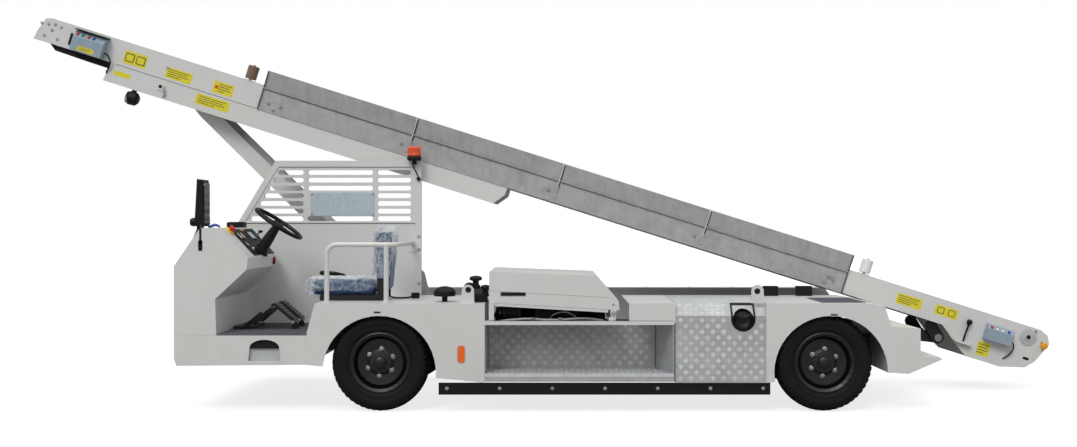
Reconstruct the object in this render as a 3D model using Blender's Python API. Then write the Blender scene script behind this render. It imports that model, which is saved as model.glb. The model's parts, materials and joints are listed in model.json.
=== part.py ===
"""Baggage belt loader: a low self-propelled truck that carries a tilting conveyor belt beside its driver.

Metres, +Z up. The truck's front points to -X, its driver's side to -Y, and the origin is on the ground
under the middle of the vehicle. The conveyor and the lift arms are built along their own axes, on an
empty that stands on each joint's axis.
"""

import math

import bmesh
import bpy
from mathutils import Matrix, Vector

# --- running clearances and wall thicknesses
GAP = 0.0003          # between pieces that touch
SIDE_PLAY = 0.005     # between pieces that swing past each other
WALL = 0.008          # body panels
PIN_PLAY = 0.0008     # hole over pin, radius

# --- body
HALF_WIDTH = 1.05
NOSE_X = -2.589
BODY_BOTTOM = 0.328
SILL_BOTTOM = 0.209
SKIRT_BOTTOM = 0.124
SEAM_Z = 0.5415
FLOOR_Z = 0.556
FLOOR_REAR_X = -1.655
DECK_Z = 0.768
DECK_INNER_Y = -0.012
RIGHT_INNER_Y = 0.87
RIGHT_TOP_Z = 0.78
ARCH_RADIUS = 0.40
ARCH_Z = 0.28

# --- wheels and axles
FRONT_AXLE_X = -1.145
WHEELBASE = 3.145
TYRE_RADIUS = 0.345
TYRE_WIDTH = 0.19
RIM_RADIUS = 0.215
WHEEL_Y = 0.925
KINGPIN_Y = 0.75
AXLE_HALF = 0.04
SPINDLE_RADIUS = 0.03
REAR_AXLE_X = FRONT_AXLE_X + WHEELBASE
REAR_X = REAR_AXLE_X + 0.459
REAR_ARCH_SHIFT = 0.036

# --- chassis rails: name, inner and outer Y, front and rear X
RAIL_BOTTOM = 0.40
RAIL_TOP = 0.52
LEFT_RAIL_Y = (-0.62, -0.56)
MID_RAIL_Y = (0.04, 0.10)
RIGHT_RAIL_Y = (0.70, 0.76)

# --- conveyor, in its own frame: x rearwards along the belt, z across its thickness, 0 at the rear pivot
CONVEYOR_Y = 0.395
TILT = math.radians(17.5)
PIVOT = (REAR_AXLE_X + 1.137, CONVEYOR_Y, 0.423)
FRAME_HALF = 0.365
SIDE_THICK = 0.03
TOP_LINE = 0.302
BOTTOM_LINE = 0.108
DRUM_RADIUS = 0.0765
BELT_THICK = 0.008
BELT_HALF = 0.30
HEAD_DRUM_X = -7.41
TAIL_DRUM_X = 0.655
LOOP_STEPS = 12       # of the belt round half a drum, so that drum and belt have the same facets
DRUM_Z = TOP_LINE - 0.002 - BELT_THICK - DRUM_RADIUS - GAP
RAIL_FRONT, RAIL_REAR, RAIL_DROP = -6.90, -3.62, 0.153

# --- lift arms
FRONT_PIVOT = (-0.93, CONVEYOR_Y, 0.47)
FRONT_TIP_X = -2.823
FRONT_TIP = (FRONT_TIP_X, CONVEYOR_Y, PIVOT[2] + (PIVOT[0] - FRONT_TIP_X) * math.tan(TILT) + 0.0428)
ARM_HALF = 0.215
ARM_PLATE = 0.04
ARM_DEPTH = 0.115
PIN_RADIUS = 0.02
REAR_PIVOT = (REAR_AXLE_X - 0.607, CONVEYOR_Y, 0.40)
REAR_ARM_HALF = 0.26
PIVOT_TUBE_RADIUS = 0.03

# --- lift cylinders: foot, crank length and crank angle on the arm
FRONT_FOOT = (-1.83, CONVEYOR_Y, 0.46)
FRONT_CRANK = (0.45, math.radians(35))
REAR_FOOT = (REAR_AXLE_X + 0.15, CONVEYOR_Y, 0.47)
REAR_CRANK = (0.22, math.radians(60))
EYE_HALF = 0.02
FORK_REACH = 0.045     # from a foot's pin to where its barrel widens

# --- hood
HOOD_PIVOT = (0.506, -0.53, 0.694)
HOOD_Y = (-HALF_WIDTH + 0.05, -0.06)
HOOD_WALL = 0.006

# --- steering wheel
WHEEL_CENTRE = (-1.96, -0.55, 1.329)
WHEEL_RADIUS = 0.19
COLUMN_TILT = math.radians(34)
COLUMN_LENGTH = 0.2375    # from the sloping dash to the wheel's middle

MATERIALS = {
    # name: (hex colour, roughness, metallic)
    "white_paint": ("E9E9E6", 0.35, 0.0),
    "black_paint": ("1B1B1C", 0.45, 0.0),
    "galvanised_steel": ("9B9C9A", 0.45, 0.9),
    "tread_plate": ("B9BBBB", 0.35, 0.9),
    "tyre_rubber": ("161616", 0.85, 0.0),
    "belt_rubber": ("202022", 0.8, 0.0),
    "floor_rubber": ("2B2D30", 0.8, 0.0),
    "seat_fabric": ("3E5F8A", 0.9, 0.0),
    "machined_steel": ("A8A9AA", 0.3, 1.0),
    "cast_iron": ("55575A", 0.6, 0.8),
    "black_plastic": ("1C1C1E", 0.5, 0.0),
    "grey_plastic": ("8FA0AC", 0.45, 0.0),
    "amber_plastic": ("E0661A", 0.2, 0.0),
}


def clear_scene():
    for thing in list(bpy.data.objects):
        bpy.data.objects.remove(thing)


def make_material(name):
    hex_colour, roughness, metallic = MATERIALS[name]
    found = bpy.data.materials.get(name)
    if found:
        return found
    made = bpy.data.materials.new(name)
    made.use_nodes = True
    shader = made.node_tree.nodes["Principled BSDF"]
    channels = [int(hex_colour[i:i + 2], 16) / 255 for i in (0, 2, 4)]
    linear = [c / 12.92 if c <= 0.04045 else ((c + 0.055) / 1.055) ** 2.4 for c in channels]
    shader.inputs["Base Color"].default_value = (*linear, 1)
    shader.inputs["Roughness"].default_value = roughness
    shader.inputs["Metallic"].default_value = metallic
    return made


def empty(name, location, parent=None, turn_y=0.0):
    """A joint's empty, at a world location, turned about Y."""
    made = bpy.data.objects.new(name, None)
    bpy.context.collection.objects.link(made)
    world = Matrix.Translation(location) @ Matrix.Rotation(turn_y, 4, "Y")
    if parent:
        made.parent = parent
        world = parent.matrix_basis.inverted() @ world
    made.matrix_basis = world
    return made


def new_object(name, points, faces):
    mesh = bpy.data.meshes.new(name)
    mesh.from_pydata([tuple(p) for p in points], [], faces)
    work = bmesh.new()
    work.from_mesh(mesh)
    bmesh.ops.recalc_face_normals(work, faces=work.faces)
    work.to_mesh(mesh)
    work.free()
    made = bpy.data.objects.new(name, mesh)
    bpy.context.collection.objects.link(made)
    return made


AXIS_ORDER = {"x": (2, 0, 1), "y": (0, 2, 1), "z": (0, 1, 2)}


def prism(name, outline, low, high, axis="y"):
    """An outline in the plane across the axis, drawn out along it: (x, z) for y, (y, z) for x, (x, y) for z."""
    order = AXIS_ORDER[axis]
    points = []
    for level in (low, high):
        for a, b in outline:
            point = (a, b, level)
            points.append([point[order[i]] for i in range(3)])
    count = len(outline)
    faces = [list(range(count)), list(range(count, 2 * count))]
    faces += [[i, (i + 1) % count, count + (i + 1) % count, count + i] for i in range(count)]
    return new_object(name, points, faces)


def box(name, x, y, z):
    return prism(name, [(x[0], z[0]), (x[1], z[0]), (x[1], z[1]), (x[0], z[1])], y[0], y[1])


def circle(centre, radius, steps=24, start=0.0, end=2 * math.pi):
    """Points on an arc, from start to end; a full circle leaves out the repeated last point."""
    full = abs(end - start - 2 * math.pi) < 1e-6
    count = steps if full else steps + 1
    return [
        (centre[0] + radius * math.cos(start + (end - start) * i / steps),
         centre[1] + radius * math.sin(start + (end - start) * i / steps))
        for i in range(count)
    ]


def rod(name, centre, radius, low, high, axis="y", steps=16):
    return prism(name, circle(centre, radius, steps), low, high, axis)


def link_outline(start, end, start_radius, end_radius, steps=6):
    """The outline of a plate with a round end about each of two points."""
    turn = math.atan2(end[1] - start[1], end[0] - start[0])
    quarter = math.pi / 2
    first = circle(start, start_radius, steps, turn + quarter, turn + 3 * quarter)
    second = circle(end, end_radius, steps, turn - quarter, turn + quarter)
    return first + second


def inset(outline, distance):
    """An outline moved inwards by a distance, each corner where its two moved sides meet."""
    area = sum(a[0] * b[1] - b[0] * a[1] for a, b in zip(outline, outline[1:] + outline[:1]))
    sign = 1 if area > 0 else -1
    moved = []
    count = len(outline)
    for i in range(count):
        here = Vector(outline[i])
        before = (here - Vector(outline[i - 1])).normalized()
        after = (Vector(outline[(i + 1) % count]) - here).normalized()
        normal_a = Vector((-before.y, before.x)) * sign
        normal_b = Vector((-after.y, after.x)) * sign
        middle = (normal_a + normal_b).normalized()
        moved.append(tuple(here + middle * distance / max(middle.dot(normal_a), 0.2)))
    return moved


def turned(name, profile, centre, axis=(0, 1, 0), steps=28):
    """A closed profile of (radius, height) turned about an axis through the centre; it stays off the axis."""
    turn = Vector((0, 0, 1)).rotation_difference(Vector(axis)).to_matrix()
    points = []
    for i in range(steps):
        angle = 2 * math.pi * i / steps
        for radius, height in profile:
            local = Vector((radius * math.cos(angle), radius * math.sin(angle), height))
            points.append(turn @ local + Vector(centre))
    count = len(profile)
    faces = []
    for i in range(steps):
        j = (i + 1) % steps
        for k in range(count):
            m = (k + 1) % count
            faces.append([i * count + k, j * count + k, j * count + m, i * count + m])
    return new_object(name, points, faces)


def solid_turned(name, profile, centre, axis=(0, 1, 0), steps=32):
    """A profile of (radius, height) from bottom to top, with a flat cap on each end."""
    turn = Vector((0, 0, 1)).rotation_difference(Vector(axis)).to_matrix()
    points = []
    for radius, height in profile:
        for i in range(steps):
            angle = 2 * math.pi * i / steps
            local = Vector((radius * math.cos(angle), radius * math.sin(angle), height))
            points.append(turn @ local + Vector(centre))
    faces = [list(range(steps)), list(range((len(profile) - 1) * steps, len(profile) * steps))]
    for k in range(len(profile) - 1):
        for i in range(steps):
            j = (i + 1) % steps
            faces.append([k * steps + i, k * steps + j, (k + 1) * steps + j, (k + 1) * steps + i])
    return new_object(name, points, faces)


def round_corners(route, bend, steps=5):
    """A route whose inner corners are rounded to a bend radius."""
    smooth = [Vector(route[0])]
    for before, here, after in zip(route, route[1:], route[2:]):
        here = Vector(here)
        back = (Vector(before) - here).normalized()
        ahead = (Vector(after) - here).normalized()
        half = back.angle(ahead) / 2
        reach = bend / math.tan(half)
        centre = here + (back + ahead).normalized() * bend / math.sin(half)
        first = here + back * reach - centre
        last = here + ahead * reach - centre
        for i in range(steps + 1):
            smooth.append(centre + first.normalized().slerp(last.normalized(), i / steps) * bend)
    smooth.append(Vector(route[-1]))
    return smooth


def pipe(name, route, radius, sides=12):
    """A round bar along a route, mitred at each point."""
    route = [Vector(p) for p in route]
    ahead = (route[1] - route[0]).normalized()
    side = ahead.orthogonal().normalized()
    points = []
    for i, here in enumerate(route):
        before = (here - route[i - 1]).normalized() if i else ahead
        after = (route[i + 1] - here).normalized() if i + 1 < len(route) else before
        if i:
            side = (before.rotation_difference(after) @ side) if i + 1 < len(route) else side
        along = (before + after).normalized()
        flat_side = (side - along * side.dot(along)).normalized()
        other = along.cross(flat_side)
        for k in range(sides):
            angle = 2 * math.pi * k / sides
            points.append(here + radius * (math.cos(angle) * flat_side + math.sin(angle) * other))
    count = len(route)
    faces = [list(range(sides)), list(range((count - 1) * sides, count * sides))]
    for i in range(count - 1):
        for k in range(sides):
            m = (k + 1) % sides
            faces.append([i * sides + k, i * sides + m, (i + 1) * sides + m, (i + 1) * sides + k])
    return new_object(name, points, faces)


def combine(base, adds=(), cuts=()):
    """The base with solids joined to it and then cut from it, as one mesh."""
    for operation, others in (("UNION", adds), ("DIFFERENCE", cuts)):
        for other in others:
            modifier = base.modifiers.new(operation.lower(), "BOOLEAN")
            modifier.operation = operation
            modifier.solver = "EXACT"
            modifier.object = other
            graph = bpy.context.evaluated_depsgraph_get()
            result = bpy.data.meshes.new_from_object(base.evaluated_get(graph))
            base.modifiers.clear()
            base.data = result
            bpy.data.objects.remove(other)
    return base


def finish(piece, name, material, parent=None, smooth=False):
    """Names a piece, gives it its material and hangs it on its body's empty."""
    piece.name = name
    piece.data.name = name
    piece.data.materials.clear()
    piece.data.materials.append(make_material(material))
    if smooth:
        piece.data.shade_smooth()
        piece.data.set_sharp_from_angle(angle=math.radians(30))
    piece.parent = parent
    return piece


# ---------------------------------------------------------------- chassis and axles

CROSS_MEMBERS = (
    # name, front X, rear X, left Y, right Y, bottom Z, top Z
    ("nose", -2.46, -2.38, -HALF_WIDTH + 0.01, HALF_WIDTH - 0.01, 0.40, 0.50),
    ("cylinder_foot", -1.92, -1.84, -HALF_WIDTH + 0.17, HALF_WIDTH - 0.01, 0.34, 0.42),
    ("arm_pivot", -0.66, -0.58, -0.62, 0.86, 0.32, 0.42),
    ("middle", 0.98, 1.06, -0.62, 0.86, 0.34, 0.42),
    ("rear_pivot", REAR_PIVOT[0] - 0.173, REAR_PIVOT[0] - 0.093, -0.62, 0.86, 0.34, 0.42),
    ("rear_foot", REAR_FOOT[0] - 0.03, REAR_FOOT[0] + 0.03, -0.62, 0.74, 0.34, 0.42),
    ("tail", REAR_AXLE_X + 0.36, REAR_AXLE_X + 0.42, -0.62, 0.86, 0.34, 0.405),
)


def chassis_frame():
    """Two full-length rails, a short right-hand rail and their cross members, with the pivot brackets."""
    frame = box("frame", (-2.45, REAR_AXLE_X + 0.42), LEFT_RAIL_Y, (RAIL_BOTTOM, RAIL_TOP))
    adds = [
        box("rail", (-2.45, REAR_AXLE_X + 0.42), MID_RAIL_Y, (RAIL_BOTTOM, RAIL_TOP)),
        box("rail", (-0.64, REAR_AXLE_X + 0.41), RIGHT_RAIL_Y, (RAIL_BOTTOM, RAIL_TOP)),
    ]
    for _, front, rear, left, right, bottom, top in CROSS_MEMBERS:
        adds.append(box("cross", (front, rear), (left, right), (bottom, top)))
    # the front arm's two pivot plates, each with a stub pin into the arm's side plate
    x, y, z = FRONT_PIVOT
    inner = ARM_HALF + SIDE_PLAY
    left_plate = (MID_RAIL_Y[1] - 0.01, y - inner)
    right_plate = (y + inner, y + inner + 0.03)
    plate = link_outline((x, z), (-0.62, 0.40), 0.05, 0.05)
    for low, high in (left_plate, right_plate):
        adds.append(prism("plate", plate, low, high))
    adds.append(rod("pin", (x, z), PIN_RADIUS, left_plate[1] - 0.01, left_plate[1] + 0.03))
    adds.append(rod("pin", (x, z), PIN_RADIUS, right_plate[0] - 0.03, right_plate[0] + 0.01))
    # the rear arm's pivot plates
    x, y, z = REAR_PIVOT
    inner = REAR_ARM_HALF + SIDE_PLAY
    plate = link_outline((x, z), (x - 0.143, 0.40), 0.05, 0.05)
    for low, high in ((MID_RAIL_Y[1] - 0.01, y - inner), (y + inner, RIGHT_RAIL_Y[0] + 0.01)):
        adds.append(prism("plate", plate, low, high))
    adds.append(rod("pin", (x, z), PIN_RADIUS, y - inner - 0.01, y - inner + 0.03))
    adds.append(rod("pin", (x, z), PIN_RADIUS, y + inner - 0.03, y + inner + 0.01))
    # a fork for each cylinder's foot
    for (x, y, z), base in ((FRONT_FOOT, (-1.87, 0.40)), (REAR_FOOT, (REAR_FOOT[0], 0.40))):
        fork = link_outline((x, z), base, 0.03, 0.03)
        for side in (-1, 1):
            near, far = y + side * (EYE_HALF + PIN_PLAY), y + side * (EYE_HALF + 0.03)
            adds.append(prism("fork", fork, min(near, far), max(near, far)))
    # pads that the two axles are bolted to
    for axle_x in (FRONT_AXLE_X, REAR_AXLE_X):
        for low, high in (LEFT_RAIL_Y, MID_RAIL_Y):
            adds.append(box("pad", (axle_x - 0.05, axle_x + 0.05), (low + 0.002, high - 0.002),
                            (TYRE_RADIUS + AXLE_HALF + GAP, RAIL_BOTTOM + 0.01)))
    adds.append(box("pad", (REAR_AXLE_X - 0.05, REAR_AXLE_X + 0.05), (0.702, 0.758),
                    (TYRE_RADIUS + AXLE_HALF + GAP, RAIL_BOTTOM + 0.01)))
    finish(combine(frame, adds), "chassis_frame", "black_paint")


def front_axle():
    beam = box("beam", (FRONT_AXLE_X - AXLE_HALF, FRONT_AXLE_X + AXLE_HALF), (-KINGPIN_Y, KINGPIN_Y),
               (TYRE_RADIUS - AXLE_HALF, TYRE_RADIUS + AXLE_HALF))
    bosses = [
        rod("boss", (FRONT_AXLE_X, side * KINGPIN_Y), 0.035, TYRE_RADIUS - 0.055, TYRE_RADIUS + 0.055, "z")
        for side in (-1, 1)
    ]
    finish(combine(beam, bosses), "front_axle", "black_paint")


def rear_axle():
    beam = box("beam", (REAR_AXLE_X - AXLE_HALF, REAR_AXLE_X + AXLE_HALF), (-0.80, 0.80),
               (TYRE_RADIUS - AXLE_HALF, TYRE_RADIUS + AXLE_HALF))
    reach = WHEEL_Y + 0.03
    spindle = rod("spindle", (REAR_AXLE_X, TYRE_RADIUS), SPINDLE_RADIUS, -reach, reach)
    housing = solid_turned("housing", [(0.06, -0.17), (0.105, -0.07), (0.105, 0.07), (0.06, 0.17)],
                           (REAR_AXLE_X, -0.30, TYRE_RADIUS), steps=20)
    finish(combine(beam, [spindle, housing]), "rear_axle", "black_paint")


def knuckle(name, side, parent):
    """A yoke over the axle's boss, with the wheel's spindle on its outer face."""
    face = (0.055, 0.08)
    arms = [
        box("arm", (-0.035, 0.035), sorted((side * -0.03, side * 0.06)), (low, low + 0.02))
        for low in (0.0555, -0.0755)
    ]
    plate = box("plate", (-0.045, 0.045), sorted((side * face[0], side * face[1])), (-0.0757, 0.0757))
    spindle = rod("spindle", (0, 0), SPINDLE_RADIUS, *sorted((side * 0.07, side * (WHEEL_Y - KINGPIN_Y + 0.03))))
    finish(combine(plate, [*arms, spindle]), name, "cast_iron", parent)


def tyre_profile():
    """(radius, distance from the wheel's middle) round the tyre's section."""
    half = TYRE_WIDTH / 2
    bead = RIM_RADIUS - 0.012 + GAP
    right = [(bead, half - 0.025), (RIM_RADIUS + 0.02, half - 0.011), (TYRE_RADIUS - 0.06, half),
             (TYRE_RADIUS - 0.023, half - 0.007), (TYRE_RADIUS - 0.0045, half - 0.023), (TYRE_RADIUS, half - 0.05)]
    left = [(radius, -offset) for radius, offset in reversed(right)]
    return right + left


def rim_profile(side):
    """(radius, distance outwards) round the rim's section: the barrel, and a disc dished towards its hub."""
    bore = SPINDLE_RADIUS + PIN_PLAY
    outer = RIM_RADIUS - 0.012
    profile = [
        (bore, -0.03), (0.075, -0.03), (0.085, 0.02), (0.150, 0.032), (0.170, 0.010), (0.185, 0.010),
        (0.185, -0.068), (outer, -0.072 + GAP), (outer, 0.072 - GAP), (RIM_RADIUS, 0.080), (0.208, 0.083),
        (0.188, 0.070), (0.186, 0.030), (0.160, 0.050), (0.095, 0.040), (0.075, 0.055), (0.045, 0.060),
        (bore, 0.060),
    ]
    return [(radius, side * distance) for radius, distance in profile]


def wheel(place, centre, side, parent):
    tyre = turned("tyre", tyre_profile(), centre)
    finish(tyre, f"tyre_{place}", "tyre_rubber", parent, True)
    rim = turned("rim", rim_profile(side), centre)
    finish(rim, f"rim_{place}", "black_paint", parent, True)


# ---------------------------------------------------------------- body

def rail_notches(x_values):
    """Cutters where the two long rails pass through a wall."""
    made = []
    for x in x_values:
        for low, high in (LEFT_RAIL_Y, MID_RAIL_Y):
            made.append(box("notch", (x - 0.03, x + 0.03), (low - SIDE_PLAY, high + SIDE_PLAY),
                            (SILL_BOTTOM - 0.1, RAIL_TOP + SIDE_PLAY)))
    return made


def front_body():
    """The low nose box across the whole width, open below, with the entry step's pocket in its left side."""
    rear = FLOOR_REAR_X - 2 * GAP
    outline = [(NOSE_X + 0.018, BODY_BOTTOM), (NOSE_X, 0.38), (NOSE_X, SEAM_Z), (rear, SEAM_Z), (rear, 0.335)]
    shell = prism("shell", outline, -HALF_WIDTH, HALF_WIDTH)
    inner = inset(outline, WALL)
    inner[0] = (inner[0][0], 0.2)
    inner[-1] = (inner[-1][0], 0.2)
    hollow = prism("hollow", inner, -HALF_WIDTH + WALL, HALF_WIDTH - WALL)
    pocket_wall = box("pocket", (-2.079, -1.825), (-HALF_WIDTH + 0.004, -HALF_WIDTH + 0.15), (0.350, 0.530))
    arch = [(-1.952 + 0.105 * x, 0.455 + 0.057 * y) for x, y in circle((0, 0), 1.0, 12, 0.0, math.pi)]
    pocket_hole = prism("hole", [(-2.067, 0.362), (-1.837, 0.362), *arch], -HALF_WIDTH - 0.02, -HALF_WIDTH + 0.138)
    well = box("well", (-2.02, FLOOR_REAR_X + 0.05), (CONVEYOR_Y - 0.16, CONVEYOR_Y + 0.16), (0.2, 0.6))
    combine(shell, cuts=[hollow])
    combine(shell, [pocket_wall], [pocket_hole, well, *rail_notches([rear])])
    finish(shell, "front_body", "white_paint")


def dash_pod():
    """The upright nose in front of the driver, with its sloping dash and its undercut for the feet."""
    outline = [
        (NOSE_X, SEAM_Z + 2 * GAP), (NOSE_X, 1.03), (-2.405, 1.298), (-2.262, 1.298), (-2.068, 1.089),
        (-2.076, 1.006), (-2.299, 0.798), (-2.290, SEAM_Z + 2 * GAP),
    ]
    low, high = -HALF_WIDTH, -0.13
    pod = prism("pod", outline, low, high)
    inner = inset(outline, WALL)
    inner[0] = (inner[0][0], SEAM_Z - 0.05)
    inner[-1] = (inner[-1][0], SEAM_Z - 0.05)
    combine(pod, cuts=[prism("hollow", inner, low + WALL, high - WALL)])
    finish(pod, "dash_pod", "white_paint")


def cab_floor():
    """A rubber mat with ribs along it, on the nose box."""
    base = box("mat", (-2.290 + 0.004, FLOOR_REAR_X - 0.004), (-HALF_WIDTH + 0.006, -0.052),
               (SEAM_Z + GAP, FLOOR_Z - 0.004))
    ribs = [
        box("rib", (-2.27, FLOOR_REAR_X - 0.02), (-1.03 + 0.1 * i, -1.03 + 0.1 * i + 0.05),
            (FLOOR_Z - 0.006, FLOOR_Z))
        for i in range(10)
    ]
    finish(combine(base, ribs), "cab_floor", "floor_rubber")


def pedals():
    """Two foot pedals on one bracket that stands on the cab floor."""
    base = box("bracket", (-2.27, -2.12), (-0.66, -0.30), (FLOOR_Z + GAP, FLOOR_Z + 0.02))
    adds = []
    for y in (-0.62, -0.40):
        adds.append(prism("stalk", [(-2.22, FLOOR_Z + 0.01), (-2.18, FLOOR_Z + 0.01), (-2.06, 0.66),
                                    (-2.08, 0.68)], y, y + 0.025))
        adds.append(prism("pad", [(-2.13, 0.60), (-2.115, 0.59), (-1.985, 0.70), (-2.0, 0.715)],
                          y - 0.03, y + 0.055))
    finish(combine(base, adds), "pedals", "black_paint")


def left_fender():
    """The deck, outer side and end walls round the left front wheel; its inner side and bottom are open."""
    rear = -0.402
    outline = [(FLOOR_REAR_X, 0.335), (FLOOR_REAR_X, FLOOR_Z), (-1.598, DECK_Z), (rear, DECK_Z),
               (rear, SILL_BOTTOM)]
    shell = prism("shell", outline, -HALF_WIDTH, DECK_INNER_Y)
    inner = inset(outline, WALL)
    inner[0] = (inner[0][0], 0.1)
    inner[-1] = (inner[-1][0], 0.1)
    hollow = prism("hollow", inner, -HALF_WIDTH + WALL, DECK_INNER_Y + 0.1)
    arch = rod("arch", (FRONT_AXLE_X, ARCH_Z), ARCH_RADIUS, -HALF_WIDTH - 0.1, -HALF_WIDTH + 0.1, steps=48)
    combine(shell, cuts=[hollow, arch, *rail_notches([FLOOR_REAR_X, rear])])
    finish(shell, "left_fender", "white_paint")


def rear_fender():
    """Deck, outer side and rear wall round the left rear wheel, with the bumper block behind it."""
    front, axle = LOCKER_X[1] + 2 * GAP, REAR_AXLE_X
    outline = [(front, SILL_BOTTOM), (front, DECK_Z), (axle + 0.30, DECK_Z), (axle + 0.416, 0.750), (REAR_X, 0.605),
               (axle + 0.666, 0.59), (axle + 0.666, 0.395), (axle + 0.800, 0.390), (axle + 0.817, 0.372),
               (axle + 0.583, 0.272), (axle + 0.453, 0.28)]
    inner_y = DECK_INNER_Y
    shell = prism("shell", outline, -HALF_WIDTH, inner_y)
    inner = [(front + WALL, 0.1), (front + WALL, DECK_Z - WALL), (axle + 0.296, DECK_Z - WALL), (axle + 0.400, 0.744),
             (axle + 0.440, 0.600), (axle + 0.440, 0.1)]
    hollow = prism("hollow", inner, -HALF_WIDTH + WALL, inner_y + 0.1)
    arch = rod("arch", (REAR_AXLE_X + REAR_ARCH_SHIFT, ARCH_Z), ARCH_RADIUS, -HALF_WIDTH - 0.1,
               -HALF_WIDTH + 0.1, steps=48)
    notch = box("notch", (front - 0.05, front + 0.05), (LEFT_RAIL_Y[0] - SIDE_PLAY, LEFT_RAIL_Y[1] + SIDE_PLAY),
                (0.1, RAIL_TOP + SIDE_PLAY))
    combine(shell, cuts=[hollow, arch, notch])
    finish(shell, "rear_fender", "white_paint")


def right_body():
    """The narrow hollow body beyond the conveyor, with both right wheels in its arches."""
    outline = [(NOSE_X, SEAM_Z + 2 * GAP), (NOSE_X, RIGHT_TOP_Z - 0.02), (NOSE_X + 0.03, RIGHT_TOP_Z),
               (REAR_X - 0.059, RIGHT_TOP_Z), (REAR_X, 0.70), (REAR_X, SILL_BOTTOM), (FLOOR_REAR_X, SILL_BOTTOM),
               (FLOOR_REAR_X, SEAM_Z + 2 * GAP)]
    shell = prism("shell", outline, RIGHT_INNER_Y, HALF_WIDTH)
    inner = inset(outline, WALL)
    for corner in (0, 5, 6, 7):
        inner[corner] = (inner[corner][0], 0.1)
    front_hollow = prism("hollow", [inner[0], inner[1], inner[2], (-1.70, inner[2][1]), (-1.70, 0.1)],
                         RIGHT_INNER_Y + WALL, HALF_WIDTH - WALL)
    rear_hollow = prism("hollow", [(-1.71, 0.53), (-1.71, inner[2][1]), inner[3], inner[4], inner[5],
                                   (FLOOR_REAR_X + WALL, 0.1), (FLOOR_REAR_X + WALL, 0.53)],
                        RIGHT_INNER_Y + WALL, HALF_WIDTH - WALL)
    arches = [
        rod("arch", (x, ARCH_Z), ARCH_RADIUS, RIGHT_INNER_Y - 0.1, HALF_WIDTH + 0.1, steps=48)
        for x in (FRONT_AXLE_X, REAR_AXLE_X + REAR_ARCH_SHIFT)
    ]
    # the steered wheel swings further in than the arch's outer edge
    swing = box("swing", (FRONT_AXLE_X - 0.47, FRONT_AXLE_X + 0.47), (RIGHT_INNER_Y - 0.1, RIGHT_INNER_Y + 0.05),
                (0.1, 0.70))
    hub_swing = rod("swing", (REAR_AXLE_X, TYRE_RADIUS), TYRE_RADIUS + 0.03, RIGHT_INNER_Y - 0.1,
                    RIGHT_INNER_Y + 0.05, steps=32)
    combine(shell, cuts=[front_hollow, rear_hollow, *arches, swing, hub_swing])
    finish(shell, "right_body", "white_paint")


RECESS_X = (-0.402 + GAP, 0.933)
RECESS_Y = -0.65
STEP_Z = 0.272
LOCKER_X = (0.941, 1.58)


def step_tray():
    """The side step: a floor with a turned-down lip, a tread-plate back and a slanted rear end."""
    floor = box("floor", RECESS_X, (-HALF_WIDTH, RECESS_Y + 0.006), (STEP_Z - 0.006, STEP_Z))
    lip = box("lip", RECESS_X, (-HALF_WIDTH, -HALF_WIDTH + 0.006), (0.216, STEP_Z - 0.001))
    back = box("back", (RECESS_X[0], 0.836), (RECESS_Y, RECESS_Y + 0.007), (STEP_Z - 0.005, 0.616 - GAP))
    slant = prism("slant", [(0.927, -HALF_WIDTH + 0.001), (0.9329, -HALF_WIDTH + 0.001), (0.8355, RECESS_Y + 0.005),
                            (0.8295, RECESS_Y + 0.005)], STEP_Z - 0.004, 0.616 - GAP, "z")
    finish(combine(floor, [lip, back, slant]), "step_tray", "tread_plate")


def engine_bay_frame():
    """Sill over the step, posts round the engine, the hood's two hinge posts and the short deck behind it."""
    sill = box("sill", RECESS_X, (-HALF_WIDTH, -HALF_WIDTH + 0.05), (0.616, 0.644))
    adds = [box("tie", (x, x + 0.036), (-HALF_WIDTH + 0.02, LEFT_RAIL_Y[1] - 0.01), (0.618, 0.642))
            for x in (-0.373, 0.488)]
    adds.append(box("post", (-0.373, -0.337), (-HALF_WIDTH + 0.01, -HALF_WIDTH + 0.046), (0.63, 0.7702 - 0.002)))
    adds.append(box("leg", (-0.373, -0.337), (-0.61, -0.57), (RAIL_TOP + GAP, 0.63)))
    adds.append(box("leg", (0.488, 0.524), (-0.61, -0.57), (RAIL_TOP + GAP, 0.63)))
    x, _, z = HOOD_PIVOT
    for low, high in ((HOOD_Y[0] + HOOD_WALL + 0.0005, HOOD_Y[0] + 0.046), (-0.125, HOOD_Y[1] - HOOD_WALL - 0.0005)):
        adds.append(prism("hinge_post", link_outline((x, z), (x, 0.63), 0.018, 0.018), low, high))
    adds.append(box("tie", (0.488, 0.524), (-0.70, -0.07), (0.619, 0.641)))
    adds.append(box("deck", (0.615, LOCKER_X[0] - GAP), (-HALF_WIDTH, DECK_INNER_Y), (DECK_Z - WALL, DECK_Z)))
    adds.append(box("deck_side", (0.615, LOCKER_X[0] - GAP), (-HALF_WIDTH, -HALF_WIDTH + WALL), (0.63, DECK_Z - 0.001)))
    adds.append(box("deck_leg", (0.70, 0.74), (-0.61, -0.57), (RAIL_TOP + GAP, DECK_Z - 0.002)))
    finish(combine(sill, adds), "engine_bay_frame", "white_paint")


def engine_block():
    base = box("block", (-0.28, 0.42), (-0.54, -0.10), (0.44, 0.72))
    adds = [
        box("head", (-0.20, 0.30), (-0.46, -0.20), (0.70, 0.86)),
        box("mount", (-0.20, 0.34), (LEFT_RAIL_Y[1] + GAP, MID_RAIL_Y[0] - GAP), (RAIL_BOTTOM + 0.05, RAIL_TOP - 0.02)),
        box("manifold", (-0.15, 0.25), (-0.62, -0.45), (0.64, 0.72)),
    ]
    finish(combine(base, adds), "engine_block", "cast_iron")


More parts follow.
